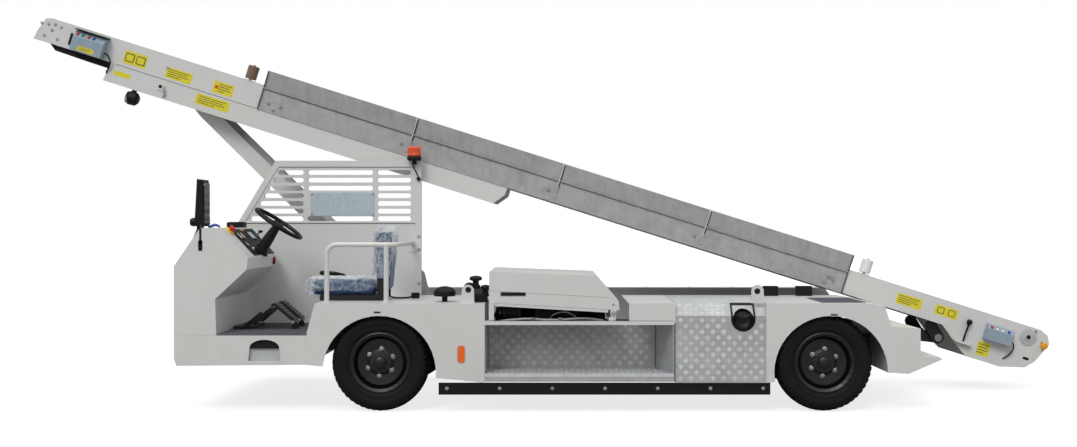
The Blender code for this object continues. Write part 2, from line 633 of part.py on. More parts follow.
def hood(parent):
    """The engine's cover, open below, hinged on ears at its rear end. Built about its hinge."""
    px, _, pz = HOOD_PIVOT
    outline = [(-0.373, 0.7702), (-0.373, 0.989), (0.388, 0.961), (0.543, 0.785), (0.55, 0.716)]
    outline = [(x - px, z - pz) for x, z in outline]
    low, high = HOOD_Y[0] - HOOD_PIVOT[1], HOOD_Y[1] - HOOD_PIVOT[1]
    shell = prism("hood", outline, low, high)
    inner = inset(outline, HOOD_WALL)
    inner[0] = (inner[0][0], inner[0][1] - 0.1)
    inner[-1] = (inner[-1][0], inner[-1][1] - 0.1)
    hollow = prism("hollow", inner, low + HOOD_WALL, high - HOOD_WALL)
    combine(shell, cuts=[hollow])
    ears = [
        prism("ear", link_outline((0, 0), (0, 0.06), 0.02, 0.02), y, y + HOOD_WALL - 0.0001)
        for y in (low + 0.00005, high - HOOD_WALL + 0.00005)
    ]
    finish(combine(shell, ears), "hood", "white_paint", parent)


def locker_box():
    """Tread-plate locker with a 45-degree front edge; open to the chassis on its inner side."""
    outline = [(-HALF_WIDTH, SILL_BOTTOM), (-HALF_WIDTH, 0.68), (-HALF_WIDTH + 0.088, DECK_Z),
               (DECK_INNER_Y, DECK_Z), (DECK_INNER_Y, 0.60), (-0.54, 0.60), (-0.54, RAIL_TOP + SIDE_PLAY),
               (-0.64, RAIL_TOP + SIDE_PLAY), (-0.64, SILL_BOTTOM)]
    shell = prism("locker", outline, LOCKER_X[0], LOCKER_X[1], "x")
    inner = inset(outline, WALL)
    hollow = prism("hollow", inner, LOCKER_X[0] + WALL, LOCKER_X[1] - WALL, "x")
    vent = box("vent", (LOCKER_X[0] + 0.2, LOCKER_X[0] + 0.3), (-0.66, -0.60), (0.30, 0.40))
    cup = rod("cup", (1.418, 0.655), 0.075, -HALF_WIDTH - 0.1, -HALF_WIDTH + 0.06)
    combine(shell, cuts=[hollow, vent, cup])
    finish(shell, "locker_box", "tread_plate")


def skirt_left():
    """The rubber strip along the bottom of the left side."""
    strip = box("skirt", (-0.727, LOCKER_X[1] + 0.03), (-HALF_WIDTH + 0.010, -HALF_WIDTH + 0.018),
                (SKIRT_BOTTOM, SILL_BOTTOM - GAP))
    finish(strip, "skirt_left", "belt_rubber")


def partition():
    """The guard between driver and conveyor: a plate below, a slotted screen above."""
    y = (-0.045, DECK_INNER_Y - GAP)
    outline = [(-2.386, 1.34), (-2.095, 1.822), (-0.954, 1.822), (-0.954, DECK_Z + GAP),
               (-1.5987, DECK_Z + GAP), (FLOOR_REAR_X - 0.001, FLOOR_Z), (FLOOR_REAR_X - 0.001, SEAM_Z + GAP),
               (-2.386, SEAM_Z + GAP)]
    plate = prism("plate", outline, *y)
    cuts = []
    half = 0.019
    rows = ((1.730, "open"), (1.670, "open"), (1.607, "open"), (1.548, "ends"), (1.487, "ends"),
            (1.427, "ends"), (1.368, "open"))
    for z, kind in rows:
        slant = -2.386 + (z - 1.34) * (2.386 - 2.095) / (1.822 - 1.34)
        spans = [(slant + 0.075, -1.875), (-1.300, -1.035)]
        if kind == "open":
            spans.append((-1.845, -1.332))
        for start, end in spans:
            slot = (circle((end - half, z), half, 6, -math.pi / 2, math.pi / 2)
                    + circle((start + half, z), half, 6, math.pi / 2, 3 * math.pi / 2))
            cuts.append(prism("slot", slot, y[0] - 0.02, y[1] + 0.02))
    finish(combine(plate, cuts=cuts), "partition", "white_paint")


def handrail():
    """A bent tube round the driver's left side, back to the partition, with a second leg."""
    radius, top, y = 0.0175, 1.18, -1.01
    foot = DECK_Z + GAP
    main = pipe("rail", round_corners([(-1.52, y, foot), (-1.52, y, top), (-1.02, y, top),
                                       (-1.02, -0.0453, top)], 0.07), radius)
    leg = pipe("leg", [(-1.10, y, foot), (-1.10, y, top)], radius)
    flanges = [rod("flange", (x, y), 0.035, foot, foot + 0.008, "z") for x in (-1.52, -1.10)]
    plate = box("plate", (-1.05, -0.99), (-0.053, -0.0453), (top - 0.07, top + 0.07))
    finish(combine(main, [leg, *flanges, plate]), "handrail", "white_paint", smooth=True)


def seat():
    y = (-0.80, -0.32)
    base = box("base", (-1.62, -1.16), (y[0] + 0.06, y[1] - 0.06), (DECK_Z + GAP, 0.808))
    side = [box("bracket", (-1.20, -1.15), (edge, edge + 0.012), (0.78, 0.93)) for edge in (y[0] + 0.05, y[1] - 0.062)]
    finish(combine(base, side), "seat_base", "black_paint")
    cushion = prism("cushion", [(-1.705, 0.835), (-1.69, 0.8085), (-1.215, 0.8085), (-1.215, 0.90), (-1.69, 0.915)],
                    y[0] + 0.065, y[1] - 0.065)
    finish(cushion, "seat_cushion", "seat_fabric")
    back = prism("back", [(-1.2145, 0.8085), (-1.145, 0.8085), (-1.10, 1.27), (-1.13, 1.29), (-1.20, 1.28),
                          (-1.2145, 0.92)], y[0] + 0.065, y[1] - 0.065)
    finish(back, "seat_back", "seat_fabric")


def steering(parent):
    x, y, z = WHEEL_CENTRE
    along = Vector((math.sin(COLUMN_TILT), 0, math.cos(COLUMN_TILT)))
    centre = Vector(WHEEL_CENTRE)
    foot = centre - along * COLUMN_LENGTH
    column = solid_turned("column", [(0.045, 0.0), (0.040, 0.10), (0.030, COLUMN_LENGTH - 0.0353)], foot, along, 20)
    finish(column, "steering_column", "black_plastic", smooth=True)
    rim = circle((WHEEL_RADIUS, 0.0), 0.015, 8)
    ring = turned("ring", [(r, h) for r, h in rim], (0, 0, 0), (0, 0, 1), 32)
    hub = solid_turned("hub", [(0.030, -0.035), (0.042, -0.02), (0.042, 0.004)], (0, 0, 0), (0, 0, 1), 20)
    spokes = [
        pipe("spoke", [(0.02 * math.cos(a), 0.02 * math.sin(a), -0.008),
                       (WHEEL_RADIUS * math.cos(a), WHEEL_RADIUS * math.sin(a), 0)], 0.009, 8)
        for a in (math.radians(d) for d in (90, 210, 330))
    ]
    piece = combine(hub, [*spokes, ring])
    finish(piece, "steering_wheel", "black_plastic", parent, True)


def mirror():
    """A tall mirror on a stalk that is bolted to the pod's sloping front."""
    glass = prism("mirror", [(-2.452, 1.325), (-2.435, 1.31), (-2.395, 1.31), (-2.385, 1.325), (-2.395, 1.64),
                             (-2.435, 1.645)], -1.02, -0.86)
    stalk = box("stalk", (-2.455, -2.432), (-0.95, -0.92), (1.268, 1.33))
    plate = prism("plate", slope_plate(0.012), -0.97, -0.90)
    finish(combine(glass, [stalk, plate]), "mirror", "black_plastic")


def slope_plate(thick):
    """A plate that lies on the pod's sloping front, as an outline in x and z."""
    low, high = Vector((NOSE_X, 1.03)), Vector((-2.405, 1.298))
    along = (high - low).normalized()
    out = Vector((-along.y, along.x))
    start, end = low + along * 0.20, low + along * 0.31
    return [tuple(start + out * 2 * GAP), tuple(end + out * 2 * GAP), tuple(end + out * thick * 3),
            tuple(start + out * thick)]


def beacon():
    """An amber lens on a black foot, carried by a bracket on the partition's rear post."""
    centre = (-1.005, -0.085, 0)
    stand = solid_turned("foot", [(0.052, 1.822), (0.058, 1.84), (0.050, 1.856)], centre, (0, 0, 1), 24)
    arm = box("arm", (-1.02, -0.99), (-0.09, -0.0453), (1.790, 1.83))
    finish(combine(stand, [arm]), "beacon_stand", "black_plastic", smooth=True)
    lens = solid_turned("lens", [(0.050, 1.8565), (0.053, 1.90), (0.048, 1.925), (0.030, 1.932)], centre, (0, 0, 1), 24)
    finish(lens, "beacon_lens", "amber_plastic", smooth=True)


# ---------------------------------------------------------------- lift arms and cylinders

def arm_angle():
    return math.atan2(FRONT_TIP[2] - FRONT_PIVOT[2], FRONT_PIVOT[0] - FRONT_TIP[0])


def crank_plates(eye, hub_radius, eye_radius):
    """Two plates either side of a cylinder's eye, from a cross tube at the origin."""
    made = []
    for side in (-1, 1):
        near, far = side * (EYE_HALF + 0.009), side * (EYE_HALF + 0.034)
        made.append(prism("crank", link_outline((0, 0), eye, hub_radius, eye_radius), min(near, far), max(near, far)))
    return made


def front_lift_arm(parent):
    """Two side plates from the chassis pivot to the rollers under the conveyor, with tubes across."""
    length = math.hypot(FRONT_TIP[0] - FRONT_PIVOT[0], FRONT_TIP[2] - FRONT_PIVOT[2])
    half = ARM_DEPTH / 2
    outline = (circle((0, 0), half, 10, -math.pi / 2, math.pi / 2) + [(-length + 0.16, half)]
               + circle((-length, 0), 0.035, 8, math.pi / 2, 3 * math.pi / 2) + [(-length + 0.16, -half)])
    hole = circle((0, 0), PIN_RADIUS + PIN_PLAY, 16)
    sides = []
    for low, high in ((-ARM_HALF, -ARM_HALF + ARM_PLATE), (ARM_HALF - ARM_PLATE, ARM_HALF)):
        plate = prism("side", outline, low, high)
        sides.append(combine(plate, cuts=[prism("hole", hole, low - 0.01, high + 0.01)]))
    inside = ARM_HALF - ARM_PLATE + 0.01
    adds = [sides[1], rod("hub", (0, 0), 0.045, -inside + 0.005, inside - 0.005)]
    for distance, radius in ((1.20, 0.03), (1.85, 0.03), (length - 0.12, 0.03)):
        adds.append(rod("tube", (-distance, 0.002), radius, -inside, inside, steps=18))
    adds.append(box("plate", (-length + 0.30, -length + 1.10), (-inside, inside), (half - 0.012, half - 0.004)))
    for side in (-1, 1):
        adds.append(solid_turned("roller", [(0.018, ARM_HALF - 0.01), (0.018, ARM_HALF + 0.012),
                                            (0.042, ARM_HALF + 0.013), (0.042, ARM_HALF + 0.058)],
                                 (-length, 0, 0), (0, side, 0), 24))
    reach, angle = FRONT_CRANK
    adds += crank_plates((-reach * math.cos(angle), reach * math.sin(angle)), 0.06, 0.035)
    piece = combine(sides[0], adds)
    finish(piece, "front_lift_arm", "white_paint", parent)


def rear_lift_arm(parent):
    """Two cranked plates over the rear axle, from the chassis pivot to the conveyor's pivot tube."""
    end = (PIVOT[0] - REAR_PIVOT[0], PIVOT[2] - REAR_PIVOT[2])
    half = 0.045
    rise = 0.095
    knees = ((0.45, rise), (1.10, rise))
    outline = (circle((0, 0), half, 8, math.pi / 2 + 0.2, 3 * math.pi / 2 + 0.2)
               + [(knees[0][0] + 0.01, rise - half), (knees[1][0] - 0.01, rise - half)]
               + circle(end, half, 8, -math.pi / 2, math.pi / 2)
               + [(knees[1][0] + 0.01, rise + half), (knees[0][0] - 0.01, rise + half)])
    plates = []
    for side in (-1, 1):
        low, high = sorted((side * (REAR_ARM_HALF - ARM_PLATE), side * REAR_ARM_HALF))
        plate = prism("side", outline, low, high)
        cuts = [prism("hole", circle((0, 0), PIN_RADIUS + PIN_PLAY, 16), low - 0.01, high + 0.01),
                prism("hole", circle(end, PIVOT_TUBE_RADIUS + PIN_PLAY, 20), low - 0.01, high + 0.01)]
        plates.append(combine(plate, cuts=cuts))
    inside = REAR_ARM_HALF - ARM_PLATE + 0.01
    adds = [plates[1], rod("hub", (0, 0), 0.035, -inside + 0.005, inside - 0.005)]
    adds.append(rod("tube", (1.28, 0.08), 0.028, -inside, inside, steps=16))
    reach, angle = REAR_CRANK
    adds += crank_plates((reach * math.cos(angle), reach * math.sin(angle)), 0.045, 0.028)
    finish(combine(plates[0], adds), "rear_lift_arm", "black_paint", parent)


def cylinder(place, length, gland, bore_start, radius, rod_radius, barrel_parent, rod_parent):
    """A barrel with its foot's eye at the origin and its bore open at the gland, and the rod in it."""
    eye = rod("eye", (0, 0), 0.028, -EYE_HALF, EYE_HALF)
    body = solid_turned("body", [(0.018, 0.0), (0.018, FORK_REACH), (radius, FORK_REACH + 0.01), (radius, gland)],
                        (0, 0, 0), (1, 0, 0), 20)
    collar = solid_turned("collar", [(radius + 0.006, gland - 0.05), (radius + 0.006, gland - 0.005)],
                          (0, 0, 0), (1, 0, 0), 20)
    bore = solid_turned("bore", [(rod_radius + PIN_PLAY, bore_start), (rod_radius + PIN_PLAY, gland + 0.05)],
                        (0, 0, 0), (1, 0, 0), 20)
    finish(combine(eye, [body, collar], [bore]), f"{place}_cylinder_barrel", "black_paint", barrel_parent, True)
    inner_end = bore_start + 0.5 * (gland - bore_start)
    shaft = solid_turned("shaft", [(rod_radius, inner_end - length), (rod_radius, -0.01)], (0, 0, 0), (1, 0, 0), 20)
    tip = rod("tip", (0, 0), rod_radius + 0.006, -EYE_HALF, EYE_HALF, steps=16)
    finish(combine(shaft, [tip]), f"{place}_cylinder_rod", "machined_steel", rod_parent, True)


# ---------------------------------------------------------------- conveyor

def conveyor_side(name, side, parent):
    """A side plate from head to tail with the roller rail under its front half."""
    outer, inner = side * FRAME_HALF, side * (FRAME_HALF - SIDE_THICK)
    outline = [(-7.54, 0.105), (-7.53, 0.176), (-7.492, 0.288), (-7.44, TOP_LINE), (0.735, TOP_LINE),
               (0.80, 0.275), (0.832, 0.21), (0.762, 0.046), (0.70, -0.02), (0.506, -0.074), (0.235, -0.074),
               (0.19, -0.05), (-0.02, BOTTOM_LINE), (-7.42, BOTTOM_LINE)]
    plate = prism("side", outline, *sorted((outer, inner)))
    low = BOTTOM_LINE - RAIL_DROP
    web = prism("web", [(RAIL_FRONT, BOTTOM_LINE + 0.02), (RAIL_FRONT - 0.02, low), (RAIL_REAR - 0.07, low),
                        (RAIL_REAR, low + 0.09), (RAIL_REAR, BOTTOM_LINE + 0.02)],
                *sorted((side * (FRAME_HALF - 0.0005), side * (FRAME_HALF - 0.008))))
    flange = box("flange", (RAIL_FRONT, RAIL_REAR), sorted((side * (FRAME_HALF - 0.002), side * (FRAME_HALF - 0.142))),
                 (BOTTOM_LINE - 0.012, BOTTOM_LINE + 0.001))
    finish(combine(plate, [web, flange]), name, "white_paint", parent)


def conveyor_bed(parent):
    """The plate that the belt slides on, between the side plates, inside the belt's loop."""
    reach = FRAME_HALF - SIDE_THICK - GAP
    top = TOP_LINE - 0.002 - BELT_THICK - 2 * GAP
    bed = box("bed", (HEAD_DRUM_X + 0.14, TAIL_DRUM_X - 0.14), (-reach, reach), (top - 0.03, top))
    finish(bed, "conveyor_bed", "galvanised_steel", parent)


def stadium(radius, steps=LOOP_STEPS):
    """The outline of a loop over both drums."""
    head = circle((HEAD_DRUM_X, DRUM_Z), radius, steps, math.pi / 2, 3 * math.pi / 2)
    tail = circle((TAIL_DRUM_X, DRUM_Z), radius, steps, -math.pi / 2, math.pi / 2)
    return head + tail


def belt(parent):
    outer, inner = stadium(DRUM_RADIUS + GAP + BELT_THICK), stadium(DRUM_RADIUS + GAP)
    points, faces = [], []
    for y in (-BELT_HALF, BELT_HALF):
        for outline in (outer, inner):
            points += [(x, y, z) for x, z in outline]
    count = len(outer)
    for i in range(count):
        j = (i + 1) % count
        faces.append([i, j, count + j, count + i])
        faces.append([2 * count + i, 2 * count + j, 3 * count + j, 3 * count + i])
        faces.append([i, j, 2 * count + j, 2 * count + i])
        faces.append([count + i, count + j, 3 * count + j, 3 * count + i])
    finish(new_object("belt", points, faces), "belt", "belt_rubber", parent)


def drums(parent):
    reach = FRAME_HALF - SIDE_THICK - GAP
    for name, x in (("head_drum", HEAD_DRUM_X), ("tail_drum", TAIL_DRUM_X)):
        drum = solid_turned(name, [(0.025, -reach), (0.025, -BELT_HALF - 0.012), (DRUM_RADIUS, -BELT_HALF - 0.01),
                                   (DRUM_RADIUS, BELT_HALF + 0.01), (0.025, BELT_HALF + 0.012), (0.025, reach)],
                            (x, 0, DRUM_Z), (0, 1, 0), 2 * LOOP_STEPS)
        finish(drum, name, "machined_steel", parent, True)


def pivot_bracket(parent):
    """A plate across the conveyor's underside with two lugs round the pivot tube."""
    reach = FRAME_HALF - SIDE_THICK - GAP
    plate = box("plate", (-0.14, -0.02), (-reach, reach), (BOTTOM_LINE + 0.002, BOTTOM_LINE + 0.012))
    adds = []
    for side in (-1, 1):
        low, high = sorted((side * (REAR_ARM_HALF + 0.008), side * (REAR_ARM_HALF + 0.034)))
        lug = prism("lug", link_outline((0, 0), (-0.08, BOTTOM_LINE - 0.038), 0.048, 0.048), low, high)
        adds.append(combine(lug, cuts=[prism("hole", circle((0, 0), PIVOT_TUBE_RADIUS + PIN_PLAY, 20),
                                             low - 0.01, high + 0.01)]))
    finish(combine(plate, adds), "pivot_bracket", "black_paint", parent)


def pivot_tube(parent):
    tube = rod("tube", (0, 0), PIVOT_TUBE_RADIUS, -REAR_ARM_HALF - 0.045, REAR_ARM_HALF + 0.045, steps=20)
    finish(tube, "pivot_tube", "machined_steel", parent, True)


def side_guard(name, side, parent):
    """A folded galvanised board along the side plate, leaning outwards above the belt."""
    face = FRAME_HALF + GAP
    section = [(face, 0.105), (face + 0.005, 0.105), (face + 0.005, 0.28), (face + 0.024, 0.42),
               (face + 0.019, 0.42), (face, 0.28)]
    board = prism("guard", [(side * y, z) for y, z in section], -5.69, -0.85, "x")
    ribs = []
    for x in (-4.454, -3.243, -2.036):
        rib = [(face + 0.004, 0.13), (face + 0.012, 0.14), (face + 0.012, 0.27), (face + 0.028, 0.40),
               (face + 0.022, 0.415), (face + 0.003, 0.27)]
        ribs.append(prism("rib", [(side * y, z) for y, z in rib], x - 0.012, x + 0.012, "x"))
    finish(combine(board, ribs), name, "galvanised_steel", parent)


def control_box(name, x, z, size, parent):
    face = -FRAME_HALF - GAP
    length, height, depth = size
    shell = prism("box", [(face, z - height / 2), (face, z + height / 2), (face - depth * 0.6, z + height / 2),
                          (face - depth, z + height * 0.2), (face - depth, z - height / 2)],
                  x - length / 2, x + length / 2, "x")
    finish(shell, name, "grey_plastic", parent)


def work_light(parent):
    y = -FRAME_HALF + 0.02
    lamp = solid_turned("lamp", [(0.030, -0.05), (0.052, -0.03), (0.055, 0.02), (0.045, 0.045)], (-6.66, y, -0.112),
                        (-1, 0, 0), 24)
    stem = box("stem", (-6.675, -6.645), (-FRAME_HALF + 0.001, -FRAME_HALF + 0.03),
               (-0.10, BOTTOM_LINE - RAIL_DROP - GAP))
    finish(combine(lamp, [stem]), "work_light", "black_plastic", parent, True)


# ---------------------------------------------------------------- assembly

def cylinder_place(foot, eye):
    """The length of a cylinder and its turn about Y, from its foot to its eye."""
    dx, dz = eye[0] - foot[0], eye[2] - foot[2]
    return math.hypot(dx, dz), -math.atan2(dz, dx)


def main():
    clear_scene()
    chassis_frame()
    front_axle()
    rear_axle()
    front_body()
    dash_pod()
    cab_floor()
    pedals()
    left_fender()
    rear_fender()
    right_body()
    step_tray()
    engine_bay_frame()
    engine_block()
    locker_box()
    skirt_left()
    partition()
    handrail()
    seat()
    mirror()
    beacon()
    hood(empty("hood_joint", HOOD_PIVOT))
    steering(empty("steering_joint", WHEEL_CENTRE, turn_y=COLUMN_TILT))
    for place, side in (("left", -1), ("right", 1)):
        kingpin = empty(f"kingpin_{place}", (FRONT_AXLE_X, side * KINGPIN_Y, TYRE_RADIUS))
        knuckle(f"knuckle_{place}", side, kingpin)
        hub = empty(f"front_{place}_hub", (FRONT_AXLE_X, side * WHEEL_Y, TYRE_RADIUS), kingpin)
        wheel(f"front_{place}", (0, 0, 0), side, hub)
        hub = empty(f"rear_{place}_hub", (REAR_AXLE_X, side * WHEEL_Y, TYRE_RADIUS))
        wheel(f"rear_{place}", (0, 0, 0), side, hub)

    front_arm = empty("front_arm_joint", FRONT_PIVOT, turn_y=arm_angle())
    front_lift_arm(front_arm)
    reach, angle = FRONT_CRANK
    turn = arm_angle() + angle
    eye = (FRONT_PIVOT[0] - reach * math.cos(turn), CONVEYOR_Y, FRONT_PIVOT[2] + reach * math.sin(turn))
    length, turn = cylinder_place(FRONT_FOOT, eye)
    barrel = empty("front_cylinder_joint", FRONT_FOOT, turn_y=turn)
    cylinder("front", length, 0.60, 0.06, 0.05, 0.025, barrel, empty("front_rod_joint", eye, barrel, turn))

    rear_arm = empty("rear_arm_joint", REAR_PIVOT)
    rear_lift_arm(rear_arm)
    reach, angle = REAR_CRANK
    eye = (REAR_PIVOT[0] + reach * math.cos(angle), CONVEYOR_Y, REAR_PIVOT[2] + reach * math.sin(angle))
    length, turn = cylinder_place(REAR_FOOT, eye)
    barrel = empty("rear_cylinder_joint", REAR_FOOT, turn_y=turn)
    cylinder("rear", length, 0.50, 0.14, 0.036, 0.018, barrel, empty("rear_rod_joint", eye, barrel, turn))

    tube = empty("pivot_joint", PIVOT, rear_arm)
    pivot_tube(tube)
    conveyor = empty("conveyor_joint", PIVOT, None, TILT)
    for place, side in (("left", -1), ("right", 1)):
        conveyor_side(f"conveyor_side_{place}", side, conveyor)
        side_guard(f"side_guard_{place}", side, conveyor)
    conveyor_bed(conveyor)
    belt(conveyor)
    drums(conveyor)
    pivot_bracket(conveyor)
    control_box("head_control_box", -7.09, 0.19, (0.25, 0.16, 0.085), conveyor)
    control_box("tail_control_box", 0.415, 0.165, (0.21, 0.125, 0.07), conveyor)
    work_light(conveyor)


main()
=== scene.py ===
"""Baggage belt loader: finishes, trim, seat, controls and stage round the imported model.

Metres, +Z up; the loader faces -X and its driver's side is -Y. Pieces of the conveyor are laid out in its own
frame, x rearwards along the belt and z across its thickness from the rear pivot, and then turned into place.
"""

import json
import math

import bmesh
import bpy
import numpy as np
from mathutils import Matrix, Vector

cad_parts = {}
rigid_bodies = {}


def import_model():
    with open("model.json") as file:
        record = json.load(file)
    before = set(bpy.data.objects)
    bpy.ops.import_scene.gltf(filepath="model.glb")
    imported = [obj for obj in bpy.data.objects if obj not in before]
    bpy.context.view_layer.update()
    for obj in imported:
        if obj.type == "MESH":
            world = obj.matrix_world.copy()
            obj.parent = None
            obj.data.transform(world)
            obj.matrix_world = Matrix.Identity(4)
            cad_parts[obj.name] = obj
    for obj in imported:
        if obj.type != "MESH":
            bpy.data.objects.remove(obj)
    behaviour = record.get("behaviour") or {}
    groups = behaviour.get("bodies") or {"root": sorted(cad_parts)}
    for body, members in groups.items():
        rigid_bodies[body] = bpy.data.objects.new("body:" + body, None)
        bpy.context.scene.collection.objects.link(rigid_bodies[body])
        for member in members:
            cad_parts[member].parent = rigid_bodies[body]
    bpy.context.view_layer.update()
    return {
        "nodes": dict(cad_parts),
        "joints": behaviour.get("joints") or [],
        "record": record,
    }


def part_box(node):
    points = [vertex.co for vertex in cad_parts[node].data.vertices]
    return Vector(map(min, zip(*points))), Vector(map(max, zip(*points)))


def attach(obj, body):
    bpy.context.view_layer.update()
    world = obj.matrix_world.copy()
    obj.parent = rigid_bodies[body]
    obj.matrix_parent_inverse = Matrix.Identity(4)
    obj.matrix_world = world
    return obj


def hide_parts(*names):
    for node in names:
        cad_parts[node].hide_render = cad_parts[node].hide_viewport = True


bl_info = {
    "name": "Baggage Belt Loader",
    "version": (1, 0, 0),
    "blender": (4, 5, 0),
    "location": "View3D > Sidebar > Loader",
    "description": "Builds the finishes and fittings of a baggage belt loader on its packed model",
    "category": "Object",
}

for startup_object in list(bpy.data.objects):
    bpy.data.objects.remove(startup_object)
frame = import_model()
JOINTS = {joint["name"]: joint for joint in frame["joints"]}
MOUNTS = {mount["name"]: mount for mount in frame["record"]["mounts"]}
PIVOT = np.array(JOINTS["conveyor_tilt"]["pos_m"])
BELT_UP = MOUNTS["belt_top"]["axis"]
TILT = math.atan2(BELT_UP[0], BELT_UP[2])
PROUD = 0.0012          # a sticker or plate over the face that it is stuck to
WHEELS = (("front_left", -1), ("front_right", 1), ("rear_left", -1), ("rear_right", 1))


def low_corner(node):
    return np.array(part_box(node)[0])


def high_corner(node):
    return np.array(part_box(node)[1])


SIDE_FACE = low_corner("conveyor_side_left")[1]     # outer face of the conveyor's left side plate
BODY_FACE = low_corner("left_fender")[1]            # outer face of the body's left side
DECK = high_corner("left_fender")[2]
PARTITION_FACE = low_corner("partition")[1]


# ---------------------------------------------------------------- sizes and colours

def linear(code):
    """An sRGB hex value as linear RGBA."""
    channels = np.array([int(code[i:i + 2], 16) / 255 for i in (0, 2, 4)])
    bent = np.where(channels <= 0.04045, channels / 12.92, ((channels + 0.055) / 1.055) ** 2.4)
    return (*[float(c) for c in bent], 1.0)


def colour(name, code, text):
    return bpy.props.FloatVectorProperty(name=name, description=text, subtype="COLOR", size=4, min=0, max=1,
                                         default=linear(code))


def length(name, value, text):
    return bpy.props.FloatProperty(name=name, description=text, default=value, min=0, unit="LENGTH",
                                   subtype="DISTANCE")


class LoaderColours(bpy.types.PropertyGroup):
    paint: colour("Body paint", "DADAD8", "White enamel on the body and the conveyor's sides")
    grime: colour("Grime", "8F8A80", "Road dirt that gathers low on the paint")
    black: colour("Black enamel", "050506", "Satin black on the chassis, rims and pedals")
    label: colour("Label", "E7D91C", "Yellow of the blank safety labels")
    marker: colour("Side marker", "F4690C", "Orange of the side marker")
    beacon: colour("Beacon", "DE4F12", "Orange of the beacon's lens")
    fabric: colour("Cushion cloth", "2F568C", "Blue of the woven cloth on the driver's cushions")
    film: colour("Clear film", "E9F1F7", "Clear film left over the driver's cushions")


class LoaderSizes(bpy.types.PropertyGroup):
    tread_depth: length("Tread depth", 0.008, "Depth of the tyre's grooves")
    plate_pitch: length("Plate pitch", 0.078, "Distance between bars of one direction on the tread plate")
    plate_rise: length("Plate rise", 0.0015, "Height of the tread plate's bars")
    nut_circle: length("Nut circle", 0.095, "Radius of the wheel nuts' circle")
    bolt_head: length("Bolt head", 0.0085, "Radius of the small bolts' heads across corners")


# ---------------------------------------------------------------- shapes: (points, faces)

AXES = {"x": (1, 0, 0), "y": (0, 1, 0), "z": (0, 0, 1)}


def grid_faces(rows, columns, round_rows=False, round_columns=False):
    """Quads of a grid whose points are numbered row by row; a round direction joins its last line to its first."""
    row = np.arange(rows if round_rows else rows - 1)
    column = np.arange(columns if round_columns else columns - 1)
    r, c = [a.ravel() for a in np.meshgrid(row, column, indexing="ij")]
    r2, c2 = (r + 1) % rows, (c + 1) % columns
    return np.stack([r * columns + c, r2 * columns + c, r2 * columns + c2, r * columns + c2], 1).tolist()


def slab(outline, low, high, axis="y"):
    """An outline in the plane across an axis, drawn out along it: (x, z) for y, (y, z) for x, (x, y) for z."""
    flat = np.array(outline, float)
    order = {"x": (2, 0, 1), "y": (0, 2, 1), "z": (0, 1, 2)}[axis]
    rings = [np.column_stack([flat, np.full(len(flat), level)])[:, order] for level in (low, high)]
    count = len(flat)
    walls = grid_faces(2, count, round_columns=True)
    return np.vstack(rings), [*walls, list(range(count)), list(range(count, 2 * count))]


def rectangle(x, z, wide, high, corner=0.0, steps=4):
    """A rectangle about its middle: four quarter circles of the corner's radius, joined by straight sides."""
    if corner <= 0:
        return [(x - wide / 2, z - high / 2), (x + wide / 2, z - high / 2), (x + wide / 2, z + high / 2),
                (x - wide / 2, z + high / 2)]
    turn = (np.arange(4)[:, None] + np.linspace(0, 1, steps + 1)[None, :]).ravel() * math.pi / 2
    quarter = np.repeat(np.arange(4), steps + 1)
    reach_x = np.where((quarter == 0) | (quarter == 3), 1, -1) * (wide / 2 - corner)
    reach_z = np.where(quarter < 2, 1, -1) * (high / 2 - corner)
    return np.column_stack([x + reach_x + corner * np.cos(turn), z + reach_z + corner * np.sin(turn)])


def turned(profile, centre, axis="y", steps=24):
    """A profile of (radius, distance along the axis) carried round the axis and capped at both ends."""
    radius, along = np.array(profile, float).T
    axis = np.array(AXES.get(axis, axis) if isinstance(axis, str) else axis, float)
    axis /= np.linalg.norm(axis)
    first = np.cross(axis, np.eye(3)[np.argmin(np.abs(axis))])
    first /= np.linalg.norm(first)
    second = np.cross(axis, first)
    turn = np.arange(steps) * 2 * math.pi / steps
    ring = np.cos(turn)[:, None] * first + np.sin(turn)[:, None] * second
    points = np.array(centre) + radius[:, None, None] * ring + along[:, None, None] * axis
    last = (len(radius) - 1) * steps
    return points.reshape(-1, 3), [*grid_faces(len(radius), steps, round_columns=True), list(range(steps)),
                                   list(range(last, last + steps))]


def smooth_route(points, steps=8):
    """A route through points as a Catmull-Rom curve: each span is a cubic whose slopes are half the neighbours' gap."""
    knots = np.array(points, float)
    knots = np.vstack([2 * knots[0] - knots[1], knots, 2 * knots[-1] - knots[-2]])
    t = np.linspace(0, 1, steps, endpoint=False)[:, None, None]
    a, b, c, d = knots[:-3], knots[1:-2], knots[2:-1], knots[3:]
    spans = 0.5 * (2 * b + (c - a) * t + (2 * a - 5 * b + 4 * c - d) * t ** 2 + (3 * b - a - 3 * c + d) * t ** 3)
    return np.vstack([spans.transpose(1, 0, 2).reshape(-1, 3), knots[-2]])


def tube(route, radius, sides=10):
    """A circle carried along a route, square to it, and capped at both ends."""
    route = np.array(route, float)
    along = np.gradient(route, axis=0)
    along /= np.linalg.norm(along, axis=1, keepdims=True)
    aside = np.eye(3)[np.argmin(np.abs(along).max(0))]
    first = np.cross(along, aside)
    first /= np.linalg.norm(first, axis=1, keepdims=True)
    second = np.cross(along, first)
    turn = np.arange(sides) * 2 * math.pi / sides
    wide = np.broadcast_to(np.asarray(radius, float), len(route))[:, None, None]
    ring = first[:, None] * np.cos(turn)[:, None] + second[:, None] * np.sin(turn)[:, None]
    points = (route[:, None] + wide * ring).reshape(-1, 3)
    last = (len(route) - 1) * sides
    return points, [*grid_faces(len(route), sides, round_columns=True), list(range(sides)),
                    list(range(last, last + sides))]


